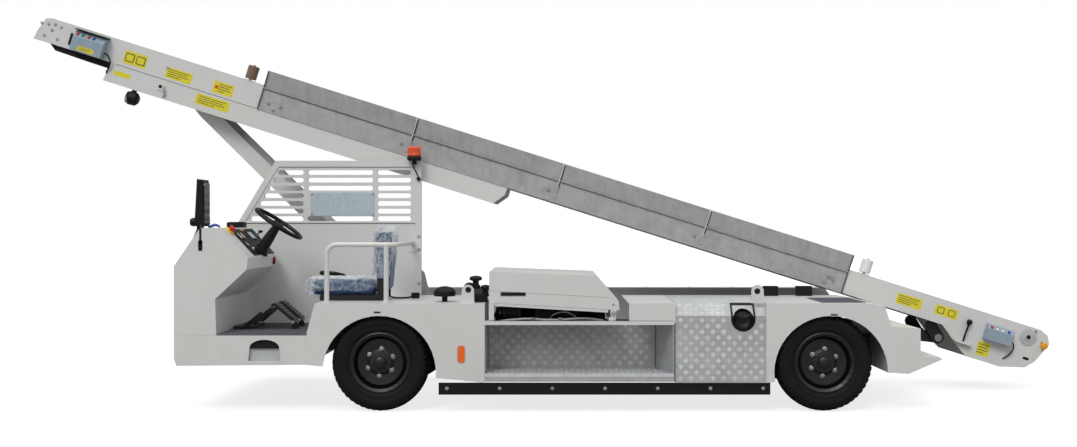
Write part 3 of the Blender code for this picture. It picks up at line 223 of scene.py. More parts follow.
def bolt(x, z, face, out=-1, radius=0.0085, rise=0.006, washer=True):
    """A hexagon head on a round washer, standing out of a face across Y."""
    shapes = [turned([(radius * 0.86, 0.0), (radius, out * rise * 0.2), (radius, out * rise * 0.8),
                      (radius * 0.8, out * rise)], (x, face, z), steps=6)]
    if washer:
        shapes.append(turned([(radius * 1.5, 0.0), (radius * 1.5, out * rise * 0.3)], (x, face, z), steps=16))
    return shapes


def join(*shapes):
    """Several shapes as one."""
    points, faces, start = [], [], 0
    for more_points, more_faces in shapes:
        points.append(np.asarray(more_points, float))
        faces += [[i + start for i in face] for face in more_faces]
        start += len(more_points)
    return np.vstack(points), faces


def on_conveyor(shape):
    """A shape from the conveyor's own frame, turned by its tilt and moved to its pivot; y is the loader's own."""
    points, faces = shape
    x, y, z = np.asarray(points, float).T
    turned_x = PIVOT[0] + x * math.cos(TILT) + z * math.sin(TILT)
    turned_z = PIVOT[2] - x * math.sin(TILT) + z * math.cos(TILT)
    return np.column_stack([turned_x, y, turned_z]), faces


def piece(name, body, shapes, bevel=0.0, smooth=30, replaces=()):
    """Makes one object of (shape, material) pairs with its faces outwards, and rides it on its body."""
    mesh = bpy.data.meshes.new(name)
    names = list(dict.fromkeys(material for _, material in shapes))
    points, faces = join(*[shape for shape, _ in shapes])
    mesh.from_pydata(points.tolist(), [], faces)
    mesh.polygons.foreach_set("material_index", [names.index(m) for (_, f), m in shapes for _ in f])
    for material in names:
        mesh.materials.append(bpy.data.materials[material])
    work = bmesh.new()
    work.from_mesh(mesh)
    bmesh.ops.recalc_face_normals(work, faces=work.faces)
    work.to_mesh(mesh)
    work.free()
    mesh.shade_smooth()
    mesh.set_sharp_from_angle(angle=math.radians(smooth))
    made = bpy.data.objects.new(name, mesh)
    bpy.context.scene.collection.objects.link(made)
    if bevel:
        edge = made.modifiers.new("edges", "BEVEL")
        edge.width, edge.segments, edge.limit_method, edge.angle_limit = bevel, 2, "ANGLE", math.radians(35)
    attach(made, body)
    if replaces:
        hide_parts(*replaces)
    return made


# ---------------------------------------------------------------- materials

def add(tree, kind, inputs=None, **attributes):
    """Adds a node, sets its attributes, and gives each named socket a value or a link."""
    node = tree.nodes.new("ShaderNode" + kind)
    for key, value in attributes.items():
        setattr(node, key, value)
    for key, value in (inputs or {}).items():
        socket = node.inputs[key]
        if isinstance(value, bpy.types.NodeSocket):
            tree.links.new(value, socket)
        else:
            socket.default_value = value
    return node


def material(name, values=None):
    """A new material, its tree, its shader with these values, and the object's coordinates."""
    made = bpy.data.materials.new(name)
    made.use_nodes = True
    tree = made.node_tree
    node = tree.nodes["Principled BSDF"]
    for key, value in (values or {}).items():
        node.inputs[key].default_value = value
    return tree, node, add(tree, "TexCoord").outputs["Object"]


def blend_colours(tree, factor, first, second):
    return add(tree, "Mix", {0: factor, 6: first, 7: second}, data_type="RGBA").outputs[2]


def spread(tree, value, low, high, to_low, to_high):
    return add(tree, "MapRange", {"Value": value, "From Min": low, "From Max": high, "To Min": to_low,
                                  "To Max": to_high}).outputs[0]


def enamel(name, base, grime, rough, dirt=0.5):
    """Sprayed gloss enamel on steel: a faint orange peel of about 4 mm, soft uneven tone over a hand's width,
    faint runs down the sides and road dirt that gathers below knee height."""
    tree, shader, place = material(name, {"IOR": 1.5, "Coat Weight": 0.15, "Coat Roughness": 0.2})
    cloud = add(tree, "TexNoise", {"Vector": place, "Scale": 2.2, "Detail": 5.0, "Roughness": 0.6})
    drawn = add(tree, "Mapping", {"Vector": place, "Scale": (5.0, 5.0, 1.6)})
    runs = add(tree, "TexNoise", {"Vector": drawn.outputs[0], "Scale": 1.6, "Detail": 4.0, "Roughness": 0.7})
    height = add(tree, "SeparateXYZ", {"Vector": place}).outputs["Z"]
    low = spread(tree, height, 0.15, 0.75, 0.45 * dirt, 0.06 * dirt)
    patchy = spread(tree, runs.outputs["Fac"], 0.35, 0.85, 0.0, 1.0)
    worn = add(tree, "Math", {0: low, 1: patchy}, operation="MULTIPLY").outputs[0]
    tone = spread(tree, cloud.outputs["Fac"], 0.3, 0.7, 0.0, 0.10 * dirt)
    total = add(tree, "Math", {0: worn, 1: tone}, operation="ADD", use_clamp=True).outputs[0]
    peel = add(tree, "TexNoise", {"Vector": place, "Scale": 240.0, "Detail": 1.0})
    bump = add(tree, "Bump", {"Height": peel.outputs["Fac"], "Strength": 0.05, "Distance": 0.0006})
    tree.links.new(blend_colours(tree, total, base, grime), shader.inputs["Base Color"])
    tree.links.new(spread(tree, cloud.outputs["Fac"], 0.3, 0.7, rough, rough + 0.14), shader.inputs["Roughness"])
    tree.links.new(bump.outputs[0], shader.inputs["Normal"])


def make_materials(colours):
    enamel("white enamel", colours.paint, colours.grime, 0.30)
    enamel("black enamel", colours.black, linear("1C1B1A"), 0.42, 0.35)

    # hot-dipped zinc: spangles some 25 mm across in slightly different greys, dulled by weather
    tree, shader, place = material("galvanised steel", {"Metallic": 0.35})
    spangle = add(tree, "TexVoronoi", {"Vector": place, "Scale": 38.0, "Randomness": 1.0})
    weather = add(tree, "TexNoise", {"Vector": place, "Scale": 5.0, "Detail": 6.0, "Roughness": 0.65})
    drawn = add(tree, "Mapping", {"Vector": place, "Scale": (9.0, 9.0, 1.2)})
    streak = add(tree, "TexNoise", {"Vector": drawn.outputs[0], "Scale": 3.0, "Detail": 3.0})
    grain = add(tree, "SeparateColor", {"Color": spangle.outputs["Color"]}).outputs[0]
    mixed = blend_colours(tree, spread(tree, weather.outputs["Fac"], 0.3, 0.7, 0.0, 1.0), linear("A3A3A5"),
                          linear("B7B7B8"))
    mixed = blend_colours(tree, spread(tree, grain, 0.0, 1.0, 0.0, 0.28), mixed, linear("C6C7C8"))
    mixed = blend_colours(tree, spread(tree, streak.outputs["Fac"], 0.5, 0.8, 0.0, 0.35), mixed, linear("8E8D8B"))
    bump = add(tree, "Bump", {"Height": weather.outputs["Fac"], "Strength": 0.12, "Distance": 0.001})
    tree.links.new(mixed, shader.inputs["Base Color"])
    tree.links.new(spread(tree, grain, 0.0, 1.0, 0.42, 0.6), shader.inputs["Roughness"])
    tree.links.new(bump.outputs[0], shader.inputs["Normal"])

    # rolled aluminium tread plate: greyer and scuffed in patches; its bars of one direction are drawn in the lighter
    # bar material below, a painted highlight
    tree, shader, place = material("tread plate", {"Metallic": 0.22})
    scuff = add(tree, "TexNoise", {"Vector": place, "Scale": 7.0, "Detail": 8.0, "Roughness": 0.7})
    fine = add(tree, "TexNoise", {"Vector": place, "Scale": 160.0, "Detail": 2.0})
    bump = add(tree, "Bump", {"Height": fine.outputs["Fac"], "Strength": 0.08, "Distance": 0.0005})
    mixed = blend_colours(tree, spread(tree, scuff.outputs["Fac"], 0.35, 0.68, 0.0, 1.0), linear("C0C2C4"),
                          linear("A9ABAD"))
    tree.links.new(mixed, shader.inputs["Base Color"])
    tree.links.new(spread(tree, scuff.outputs["Fac"], 0.3, 0.7, 0.34, 0.52), shader.inputs["Roughness"])
    tree.links.new(bump.outputs[0], shader.inputs["Normal"])

    # a lighter copy of the plate as painted highlight, as if the light caught it, with a rubbed tone in patches: bars
    # of one direction, the step's edges and the guards' ribs
    tree, shader, place = material("bright bar", {"Metallic": 0.25})
    rub = add(tree, "TexNoise", {"Vector": place, "Scale": 12.0, "Detail": 5.0})
    mixed = blend_colours(tree, spread(tree, rub.outputs["Fac"], 0.35, 0.7, 0.0, 1.0), linear("DEE0E2"),
                          linear("C6C8CA"))
    tree.links.new(mixed, shader.inputs["Base Color"])
    tree.links.new(spread(tree, rub.outputs["Fac"], 0.3, 0.7, 0.42, 0.58), shader.inputs["Roughness"])

    # vulcanised rubbers: nearly black, a bloom of dust, and a grain of a few millimetres
    for name, base, dusty, rough, scale in (("tyre rubber", "050609", "101115", 0.68, 90.0),
                                            ("belt rubber", "0B0B0D", "1C1C1D", 0.70, 260.0),
                                            ("floor rubber", "5A5C64", "6E7076", 0.66, 140.0),
                                            ("black plastic", "060608", "121215", 0.44, 420.0)):
        tree, shader, place = material(name, {"Specular IOR Level": 0.3})
        dust = add(tree, "TexNoise", {"Vector": place, "Scale": 6.0, "Detail": 6.0, "Roughness": 0.65})
        grit = add(tree, "TexNoise", {"Vector": place, "Scale": scale, "Detail": 2.0})
        bump = add(tree, "Bump", {"Height": grit.outputs["Fac"], "Strength": 0.18, "Distance": 0.0008})
        amount = spread(tree, dust.outputs["Fac"], 0.4, 0.75, 0.0, 0.7)
        tree.links.new(blend_colours(tree, amount, linear(base), linear(dusty)), shader.inputs["Base Color"])
        tree.links.new(spread(tree, dust.outputs["Fac"], 0.3, 0.7, rough, rough + 0.12), shader.inputs["Roughness"])
        tree.links.new(bump.outputs[0], shader.inputs["Normal"])

    # metals: turned bars have rings a millimetre apart, castings a sand grain of 2 to 3 mm
    for name, code, other, metallic, rough, scale in (("machined steel", "B4B5B6", "9A9B9D", 1.0, 0.26, 700.0),
                                                      ("cast iron", "3C3D3F", "55504A", 0.5, 0.6, 380.0),
                                                      ("zinc bolt", "C9CACB", "9FA0A0", 0.9, 0.3, 500.0)):
        tree, shader, place = material(name, {"Metallic": metallic})
        tone = add(tree, "TexNoise", {"Vector": place, "Scale": 18.0, "Detail": 5.0})
        grain = add(tree, "TexNoise", {"Vector": place, "Scale": scale, "Detail": 2.0})
        bump = add(tree, "Bump", {"Height": grain.outputs["Fac"], "Strength": 0.15, "Distance": 0.0005})
        amount = spread(tree, tone.outputs["Fac"], 0.35, 0.7, 0.0, 1.0)
        tree.links.new(blend_colours(tree, amount, linear(code), linear(other)), shader.inputs["Base Color"])
        tree.links.new(spread(tree, tone.outputs["Fac"], 0.3, 0.7, rough, rough + 0.15), shader.inputs["Roughness"])
        tree.links.new(bump.outputs[0], shader.inputs["Normal"])

    # moulded ABS, vinyl film and powder coats in plain colours: a fine moulded grain and slight wear
    # the dark gap colour also stands for painted shadow and shade: under ledges and lips, beside ribs, in the step
    # pocket and in the engine bay
    plain = {"grey plastic": ("93A6B4", 0.4), "dash panel": ("3A3C40", 0.5), "dial white": ("E8E8E4", 0.3),
             "red button": ("C8181A", 0.28), "green button": ("178A3A", 0.28), "blue cap": ("1F4FA8", 0.3),
             "yellow base": ("E5C412", 0.35), "tie blue": ("B9C6CE", 0.45), "dark gap": ("0B0B0C", 0.8),
             "brown roller": ("7C6450", 0.55), "orange knob": ("F2A20E", 0.3), "plate grey": ("B9BCBE", 0.4),
             "amber spot": ("E2521A", 0.3)}
    for name, (code, rough) in plain.items():
        tree, shader, place = material(name, {"IOR": 1.48})
        tone = add(tree, "TexNoise", {"Vector": place, "Scale": 30.0, "Detail": 4.0})
        grain = add(tree, "TexNoise", {"Vector": place, "Scale": 900.0, "Detail": 1.0})
        bump = add(tree, "Bump", {"Height": grain.outputs["Fac"], "Strength": 0.08, "Distance": 0.0004})
        base = np.array(linear(code))
        darker = (*[float(v) for v in base[:3] * 0.82], 1.0)
        amount = spread(tree, tone.outputs["Fac"], 0.45, 0.8, 0.0, 0.8)
        tree.links.new(blend_colours(tree, amount, linear(code), darker), shader.inputs["Base Color"])
        tree.links.new(spread(tree, tone.outputs["Fac"], 0.3, 0.7, rough, rough + 0.1), shader.inputs["Roughness"])
        tree.links.new(bump.outputs[0], shader.inputs["Normal"])

    # printed vinyl label and moulded marker: full colour, a little faded in patches, under a clear gloss
    for name, base, rough in (("yellow label", colours.label, 0.32), ("orange marker", colours.marker, 0.22),
                              ("beacon lens", colours.beacon, 0.12)):
        tree, shader, place = material(name, {"IOR": 1.5, "Coat Weight": 0.5, "Coat Roughness": 0.08})
        fade = add(tree, "TexNoise", {"Vector": place, "Scale": 24.0, "Detail": 4.0})
        pale = tuple(min(1.0, c * 0.8 + 0.06) for c in list(base)[:3]) + (1.0,)
        amount = spread(tree, fade.outputs["Fac"], 0.45, 0.75, 0.0, 0.5)
        tree.links.new(blend_colours(tree, amount, tuple(base), pale), shader.inputs["Base Color"])
        tree.links.new(spread(tree, fade.outputs["Fac"], 0.3, 0.7, rough, rough + 0.1), shader.inputs["Roughness"])

    # woven polyester seat cloth: threads drawn at 3 mm so that they show, lighter where they cross over
    tree, shader, place = material("seat cloth", {"Sheen Weight": 0.35, "Sheen Roughness": 0.45, "Roughness": 0.85})
    warp = add(tree, "TexWave", {"Vector": place, "Scale": 52.0, "Distortion": 0.6}, bands_direction="Y")
    weft = add(tree, "TexWave", {"Vector": place, "Scale": 52.0, "Distortion": 0.6}, bands_direction="DIAGONAL")
    cross = add(tree, "Math", {0: warp.outputs["Fac"], 1: weft.outputs["Fac"]}, operation="MULTIPLY").outputs[0]
    wear = add(tree, "TexNoise", {"Vector": place, "Scale": 9.0, "Detail": 5.0})
    darker = tuple(c * 0.45 for c in list(colours.fabric)[:3]) + (1.0,)
    cloth = blend_colours(tree, cross, darker, tuple(colours.fabric))
    cloth = blend_colours(tree, spread(tree, wear.outputs["Fac"], 0.5, 0.8, 0.0, 0.3), cloth, linear("6D86A6"))
    bump = add(tree, "Bump", {"Height": cross, "Strength": 0.5, "Distance": 0.0008})
    tree.links.new(cloth, shader.inputs["Base Color"])
    tree.links.new(bump.outputs[0], shader.inputs["Normal"])

    # clear polyethylene film: see-through face on; whiter edge on and along its creases as a painted reflection; hazy
    # in patches
    tree, shader, place = material("clear film", {"IOR": 1.5, "Base Color": tuple(colours.film), "Roughness": 0.1})
    haze = add(tree, "TexNoise", {"Vector": place, "Scale": 34.0, "Detail": 6.0, "Roughness": 0.7})
    # the film turns whiter the more edge on it is seen: painted reflection
    edge = add(tree, "LayerWeight", {"Blend": 0.35}).outputs["Facing"]
    cloudy = spread(tree, haze.outputs["Fac"], 0.42, 0.72, 0.06, 0.5)
    both = add(tree, "Math", {0: spread(tree, edge, 0.0, 1.0, 0.0, 0.75), 1: cloudy}, operation="ADD",
               use_clamp=True).outputs[0]
    tree.links.new(both, shader.inputs["Alpha"])
    tree.links.new(spread(tree, haze.outputs["Fac"], 0.4, 0.7, 0.06, 0.3), shader.inputs["Roughness"])

    # mirror and lamp glass: clean, with a trace of dust that dulls and darkens it in patches
    for name, code, metallic, coat in (("mirror glass", "3E444A", 1.0, 0.0), ("lamp glass", "C9D2D8", 0.0, 0.6)):
        tree, shader, place = material(name, {"Metallic": metallic, "Coat Weight": coat})
        dust = add(tree, "TexNoise", {"Vector": place, "Scale": 16.0, "Detail": 6.0})
        amount = spread(tree, dust.outputs["Fac"], 0.4, 0.75, 0.0, 0.3)
        tree.links.new(blend_colours(tree, amount, linear(code), linear("8C8A84")), shader.inputs["Base Color"])
        tree.links.new(spread(tree, dust.outputs["Fac"], 0.3, 0.75, 0.05, 0.22), shader.inputs["Roughness"])


NODE_FINISH = {
    "white_paint": "white enamel", "black_paint": "black enamel", "galvanised_steel": "galvanised steel",
    "tread_plate": "tread plate", "tyre_rubber": "tyre rubber", "belt_rubber": "belt rubber",
    "floor_rubber": "floor rubber", "seat_fabric": "seat cloth", "machined_steel": "machined steel",
    "cast_iron": "cast iron", "black_plastic": "black plastic", "grey_plastic": "grey plastic",
    "amber_plastic": "beacon lens",
}


class LOADER_OT_finishes(bpy.types.Operator):
    """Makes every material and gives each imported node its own"""
    bl_idname = "loader.finishes"
    bl_label = "Finishes"

    def execute(self, context):
        make_materials(context.scene.loader_colours)
        slots = {part["node"]: part["material_slot"] for part in frame["record"]["subparts"]}
        for name, node in frame["nodes"].items():
            finish = bpy.data.materials[NODE_FINISH[slots[name]]]
            for place in node.material_slots:
                place.material = finish
        return {"FINISHED"}


# ---------------------------------------------------------------- wheels

class LOADER_OT_tyres(bpy.types.Operator):
    """Four tyres with a block tread and ringed side walls"""
    bl_idname = "loader.tyres"
    bl_label = "Tyres"

    def execute(self, context):
        depth = context.scene.loader_sizes.tread_depth
        steps = 384
        for name, side in WHEELS:
            centre = (low_corner(f"tyre_{name}") + high_corner(f"tyre_{name}")) / 2
            outer = (high_corner(f"tyre_{name}")[2] - low_corner(f"tyre_{name}")[2]) / 2
            half = (high_corner(f"tyre_{name}")[1] - low_corner(f"tyre_{name}")[1]) / 2
            # section from the inner bead round the tread to the outer bead, as (radius, offset)
            wall = np.array([(0.2035, 0.070), (0.222, 0.078), (0.236, 0.0845), (0.243, 0.0885), (0.247, 0.0875),
                             (0.262, 0.0915), (0.282, half - 0.0005), (0.286, half), (0.300, half - 0.0012),
                             (0.304, half - 0.003), (0.314, 0.0905), (0.324, 0.0865)])
            crown = np.linspace(0.081, -0.081, 27)
            drop = 0.0185 * (np.abs(crown) / 0.081) ** 4
            section = np.vstack([wall, np.column_stack([outer - drop, crown]), wall[::-1] * (1, -1)])
            turn = np.arange(steps)[:, None] * 2 * math.pi / steps
            radius, offset = section[:, 0][None, :], section[:, 1][None, :]
            # two zigzag grooves round the tyre and a row of slots to each shoulder, eased at their edges
            zigzag = 0.024 + 0.005 * np.sign(np.sin(48 * turn)) * np.abs(np.sin(48 * turn)) ** 0.5
            ring = np.clip(1.6 - np.abs(np.abs(offset) - zigzag) / 0.0035, 0, 1)
            slot = np.clip((np.cos(48 * turn + np.where(offset > 0, 0, math.pi)) - 0.55) / 0.2, 0, 1)
            slot = slot * np.clip((np.abs(offset) - 0.034) / 0.004, 0, 1) * (radius > 0.318)
            sunk = radius - depth * np.maximum(ring * (np.abs(offset) < 0.06) * (radius > 0.33), slot)
            grid = np.stack([sunk * np.cos(turn), np.broadcast_to(offset, sunk.shape), sunk * np.sin(turn)], -1)
            points = grid.reshape(-1, 3) + centre
            faces = grid_faces(steps, len(section), round_rows=True, round_columns=True)
            piece(f"tyre_tread_{name}", f"{name}_wheel", [((points, faces), "tyre rubber")],
                  smooth=38, replaces=(f"tyre_{name}",))
        return {"FINISHED"}


class LOADER_OT_hubs(bpy.types.Operator):
    """Wheel nuts on their studs, a hub cap and a tyre valve on each wheel"""
    bl_idname = "loader.hubs"
    bl_label = "Hubs"

    def execute(self, context):
        circle = context.scene.loader_sizes.nut_circle
        for name, side in WHEELS:
            x, y, z = (low_corner(f"rim_{name}") + high_corner(f"rim_{name}")) / 2
            middle = high_corner(f"tyre_{name}")[1] / 2 + low_corner(f"tyre_{name}")[1] / 2
            shapes = []
            for k in range(6):
                turn = math.radians(60 * k + 25)
                place = (x + circle * math.cos(turn), middle, z + circle * math.sin(turn))
                shapes.append((turned([(0.019, side * 0.0405), (0.0185, side * 0.0445)], place, steps=20), "zinc bolt"))
                shapes.append((turned([(0.0135, side * 0.044), (0.0155, side * 0.047), (0.0155, side * 0.058),
                                       (0.012, side * 0.061)], place, steps=6), "zinc bolt"))
                shapes.append((turned([(0.007, side * 0.058), (0.007, side * 0.066), (0.005, side * 0.068)], place,
                                      steps=10), "machined steel"))
            cap = [(0.044, side * 0.0605), (0.044, side * 0.066), (0.040, side * 0.077), (0.030, side * 0.084),
                   (0.012, side * 0.087), (0.003, side * 0.0872)]
            shapes.append((turned(cap, (x, middle, z), steps=28), "black enamel"))
            valve = smooth_route([(x + 0.178, middle + side * 0.055, z), (x + 0.176, middle + side * 0.075, z),
                                  (x + 0.170, middle + side * 0.086, z)], 4)
            shapes.append((tube(valve, 0.0045, 8), "black plastic"))
            piece(f"hub_{name}", f"{name}_wheel", shapes, bevel=0.0006)
        return {"FINISHED"}


# ---------------------------------------------------------------- conveyor

class LOADER_OT_labels(bpy.types.Operator):
    """Yellow labels on the conveyor's left side, blank or with plain bars and panels"""
    bl_idname = "loader.labels"
    bl_label = "Labels"

    def execute(self, context):
        rail = SIDE_FACE + 0.0005
        # middle x and z, length, height, face, what is on it
        switch_box = low_corner("head_control_box")[1]
        rows = ((-7.090, 0.137, 0.131, 0.038, switch_box, "bars"),
                (-6.723, 0.188, 0.186, 0.102, SIDE_FACE, "signs"), (-6.358, 0.170, 0.212, 0.085, SIDE_FACE, "bars"),
                (-5.992, 0.175, 0.164, 0.094, SIDE_FACE, "spot"), (-6.041, 0.044, 0.272, 0.083, rail, "bars"),
                (-6.789, 0.042, 0.134, 0.037, rail, "plain"), (-0.325, 0.2045, 0.206, 0.084, SIDE_FACE, "bars"),
                (-0.021, 0.212, 0.187, 0.078, SIDE_FACE, "signs"), (0.343, 0.0206, 0.102, 0.109, SIDE_FACE, "bars"))
        shapes = []
        for x, z, wide, high, face, what in rows:
            def layer(outline, finish, step):
                shapes.append((on_conveyor(slab(outline, face - PROUD * 0.5 * (step + 1), face + 0.0002)), finish))
            layer(rectangle(x, z, wide, high, 0.006), "yellow label", 0)
            if what == "signs":
                for shift in (-0.24, 0.24):
                    layer(rectangle(x + shift * wide, z, high * 0.72, high * 0.66, 0.012), "dash panel", 1)
                    layer(rectangle(x + shift * wide, z, high * 0.58, high * 0.52, 0.008), "yellow label", 2)
            if what in ("bars", "spot"):
                left = 0.0 if what == "bars" else 0.18
                for k in range(4):
                    share = (0.82, 0.74, 0.80, 0.52)[k] - left
                    level = z + high * (0.30 - 0.2 * k)
                    layer(rectangle(x + wide * (left / 2 + (share + left - 0.86) / 2), level, wide * share, high * 0.055),
                          "dash panel", 1)
            if what == "spot":
                layer(rectangle(x - wide * 0.34, z, high * 0.3, high * 0.3, high * 0.149, 6), "amber spot", 1)
        piece("conveyor_labels", "conveyor", shapes)
        return {"FINISHED"}


class LOADER_OT_conveyor_fittings(bpy.types.Operator):
    """Bolts, slots, covers, rollers, lever, bearing plates, switches and short cables on the conveyor"""
    bl_idname = "loader.conveyor_fittings"
    bl_label = "Conveyor fittings"

    def execute(self, context):
        head = context.scene.loader_sizes.bolt_head
        face = SIDE_FACE
        far = high_corner("conveyor_side_right")[1]
        shapes = []

        def put(shape, finish):
            shapes.append((on_conveyor(shape), finish))

        # bearing bolts and adjusting slots at the head, on both sides
        for x, z in ((-7.512, 0.242), (-7.458, 0.250), (-7.407, 0.262), (-7.357, 0.253), (-7.419, 0.210),
                     (-7.466, 0.154), (-7.358, 0.154), (-6.458, 0.200), (0.53, 0.213), (0.775, 0.205), (0.70, 0.275)):
            for level, out in ((face, -1), (far, 1)):
                put(join(*bolt(x, z, level, out, head, 0.005)), "zinc bolt")
        for x, z, wide, high in ((-7.259, 0.189, 0.022, 0.100), (-7.209, 0.182, 0.022, 0.100), (0.687, 0.0505, 0.05, 0.022)):
            for level, out in ((face, -1), (far, 1)):
                put(slab(rectangle(x, z, wide, high, 0.0105), level + out * PROUD * 0.6, level - out * 0.001), "dark gap")
        for level, out in ((face, -1), (far, 1)):
            put(turned([(0.067, 0.0), (0.067, out * 0.004), (0.060, out * 0.006), (0.034, out * 0.006),
                        (0.030, out * 0.012), (0.018, out * 0.012)], (0.655, level, 0.217), steps=36), "plate grey")
            put(turned([(0.0175, out * 0.0121), (0.016, out * 0.0135)], (0.655, level, 0.217), steps=20), "dark gap")
        # a white strip along each side, with a dark line drawn under it as its painted shadow
        for level, out in ((face, -1), (far, 1)):
            put(slab([(-6.86, 0.1055), (-3.66, 0.1055), (-3.66, 0.1085), (-6.86, 0.1085)], level + out * 0.0006,
                     level - out * 0.001), "dark gap")
            put(slab([(-6.86, 0.1085), (-3.66, 0.1085), (-3.66, 0.1125), (-6.86, 0.1125)], level + out * 0.0030,
                     level - out * 0.001), "white enamel")
        piece("conveyor_bolts", "conveyor", shapes)

        # head: hood over the switches, four push buttons, cover under the drum, short cable, light's bracket
        shapes = []
        box_z, box_x = 0.19, -7.09
        put(slab([(face - 0.0005, 0.2725), (face - 0.082, 0.2745), (face - 0.082, 0.2795), (face - 0.0005, 0.286)],
                 box_x - 0.132, box_x + 0.132, "x"), "black plastic")
        for x, finish in ((-7.188, "red button"), (-7.144, "green button"), (-7.095, "red button"), (-7.055, "blue cap")):
            put(turned([(0.015, 0.0), (0.015, -0.005), (0.0115, -0.006), (0.0115, -0.012), (0.009, -0.0145)],
                       (x, face - 0.066, 0.236), steps=20), finish)
            put(turned([(0.0175, 0.002), (0.0175, -0.003)], (x, face - 0.066, 0.236), steps=20), "black plastic")
        put(slab([(-7.42, 0.109), (-6.86, 0.109), (-6.885, 0.060), (-7.36, 0.066)], face + 0.031, far - 0.031),
            "black plastic")
        cable = smooth_route([(-6.963, face - 0.02, 0.16), (-6.935, face - 0.03, 0.155), (-6.90, face - 0.032, 0.12),
                              (-6.895, face - 0.02, 0.07), (-6.91, face - 0.006, 0.03), (-6.90, face + 0.02, 0.0)], 7)
        put(tube(cable, 0.006), "black plastic")
        put(slab(rectangle(-6.458, 0.040, 0.05, 0.055, 0.005), face - 0.006, face - 0.0005), "white enamel")
        put(join(*bolt(-6.47, 0.045, face - 0.006, radius=0.009)), "dark gap")
        put(tube(smooth_route([(-6.455, face - 0.012, 0.058), (-6.43, face - 0.02, 0.03), (-6.42, face - 0.014, -0.01),
                               (-6.43, face + 0.012, -0.035)], 6), 0.007), "galvanised steel")
        # tail: lever with its plate, buttons, short cable, knob
        put(slab([(0.10, 0.012), (0.225, 0.012), (0.235, 0.024), (0.235, 0.03), (0.10, 0.03)], face - 0.045,
                 face - 0.0005), "white enamel")
        put(tube([(0.165, face - 0.025, 0.028), (0.166, face - 0.027, 0.10), (0.169, face - 0.030, 0.172)], 0.008),
            "black plastic")
        put(turned([(0.010, 0.165), (0.019, 0.178), (0.023, 0.192), (0.019, 0.206), (0.008, 0.212)],
                   (0.169, face - 0.03, 0.0), "z", 20), "black plastic")
        for x, finish in ((0.340, "red button"), (0.385, "dial white"), (0.43, "dial white"), (0.48, "blue cap")):
            put(turned([(0.013, 0.0), (0.013, -0.005), (0.010, -0.006), (0.010, -0.012), (0.008, -0.014)],
                       (x, face - 0.0545, 0.201), steps=20), finish)
            put(turned([(0.0155, 0.002), (0.0155, -0.003)], (x, face - 0.0545, 0.201), steps=20), "black plastic")
        put(tube(smooth_route([(0.52, face - 0.03, 0.14), (0.545, face - 0.032, 0.13), (0.56, face - 0.028, 0.09),
                               (0.545, face - 0.016, 0.04), (0.52, face - 0.002, 0.0), (0.50, face + 0.02, -0.02)], 7),
                 0.0055), "black plastic")
        put(turned([(0.012, 0.0), (0.012, -0.014), (0.026, -0.018), (0.028, -0.030), (0.022, -0.038), (0.008, -0.041)],
                   (0.788, face, 0.188), steps=24), "orange knob")
        piece("conveyor_switchgear", "conveyor", shapes, bevel=0.0008)

        # upright rollers that keep bags off the guards' ends, bolts and end bindings on the guards
        shapes = []
        for x, z, finish in ((-5.817, 0.368, "brown roller"), (-0.727, 0.368, "dial white")):
            for y in (low_corner("side_guard_left")[1] + 0.052, high_corner("side_guard_right")[1] - 0.052):
                put(turned([(0.040, -0.053), (0.044, -0.049), (0.044, 0.049), (0.040, 0.053)], (x, y, z), "z", 28), finish)
                put(turned([(0.012, -0.066), (0.012, 0.060), (0.008, 0.063)], (x, y, z), "z", 12), "zinc bolt")
                put(slab(rectangle(x, y, 0.10, 0.05, 0.012), z - 0.070, z - 0.062, "z"), "white enamel")
        guards = ((low_corner("side_guard_left")[1] + 0.0135, -1), (high_corner("side_guard_right")[1] - 0.0135, 1))
        for level, out in guards:
            for x, z in ((-5.616, 0.177), (-5.523, 0.177), (-5.567, 0.136), (-4.52, 0.19), (-3.31, 0.19), (-2.10, 0.19),
                         (-0.956, 0.186), (-1.02, 0.150), (-0.99, 0.20)):
                put(join(*bolt(x, z, level + 0.0, out, head, 0.005)), "zinc bolt")
            # a folded lip along each guard, with a dark line under it as the lip's painted shadow
            lip = [(level - out * 0.001, 0.2755), (level + out * 0.0035, 0.2765), (level + out * 0.0045, 0.2835),
                   (level - out * 0.001, 0.2850)]
            put(slab(lip, -5.688, -0.852, "x"), "galvanised steel")
            put(slab([(level + out * 0.0008, 0.2728), (level + out * 0.0008, 0.2756), (level, 0.2756), (level, 0.2728)],
                     -5.688, -0.852, "x"), "dark gap")
            # ribs on the guards, each in the lighter bar material as a painted highlight, with a dark strip beside it
            # as its painted shadow
            for x in (-4.454, -3.243, -2.036):
                rib = [(level, 0.198), (level + out * 0.006, 0.215), (level + out * 0.007, 0.284),
                       (level + out * 0.022, 0.412), (level + out * 0.014, 0.416), (level, 0.285)]
                put(slab(rib, x - 0.003, x + 0.003, "x"), "bright bar")
                shade = [(level, 0.230), (level + out * 0.001, 0.230), (level + out * 0.0012, 0.283),
                         (level + out * 0.0155, 0.410), (level + out * 0.0135, 0.410), (level, 0.283)]
                put(slab(shade, x + 0.003, x + 0.011, "x"), "dark gap")
            for x in (-5.686, -0.858):
                put(tube([(x, level, 0.106), (x, level, 0.28), (x, level + out * 0.0155, 0.414)], 0.0040, 8), "cast iron")
        piece("guard_fittings", "conveyor", shapes)

        # lens of the work light
        light_low, light_high = low_corner("work_light"), high_corner("work_light")
        middle = (light_low + light_high) / 2
        lens = turned([(0.047, -0.002), (0.046, 0.004), (0.034, 0.009), (0.014, 0.012), (0.002, 0.0125)],
                      (0, 0, 0), "x", 28)
        points = lens[0] * (-1, 1, 1) + (light_low[0] + 0.022, middle[1] - 0.003, light_low[2] + 0.058)
        piece("work_light_lens", "conveyor", [((points, lens[1]), "lamp glass")])
        return {"FINISHED"}


# ---------------------------------------------------------------- body

BAR_FACES = ((0, 1, 6), (1, 2, 7, 6), (2, 3, 7), (3, 4, 7), (4, 5, 6, 7), (5, 0, 6), (5, 4, 3, 2, 1, 0))


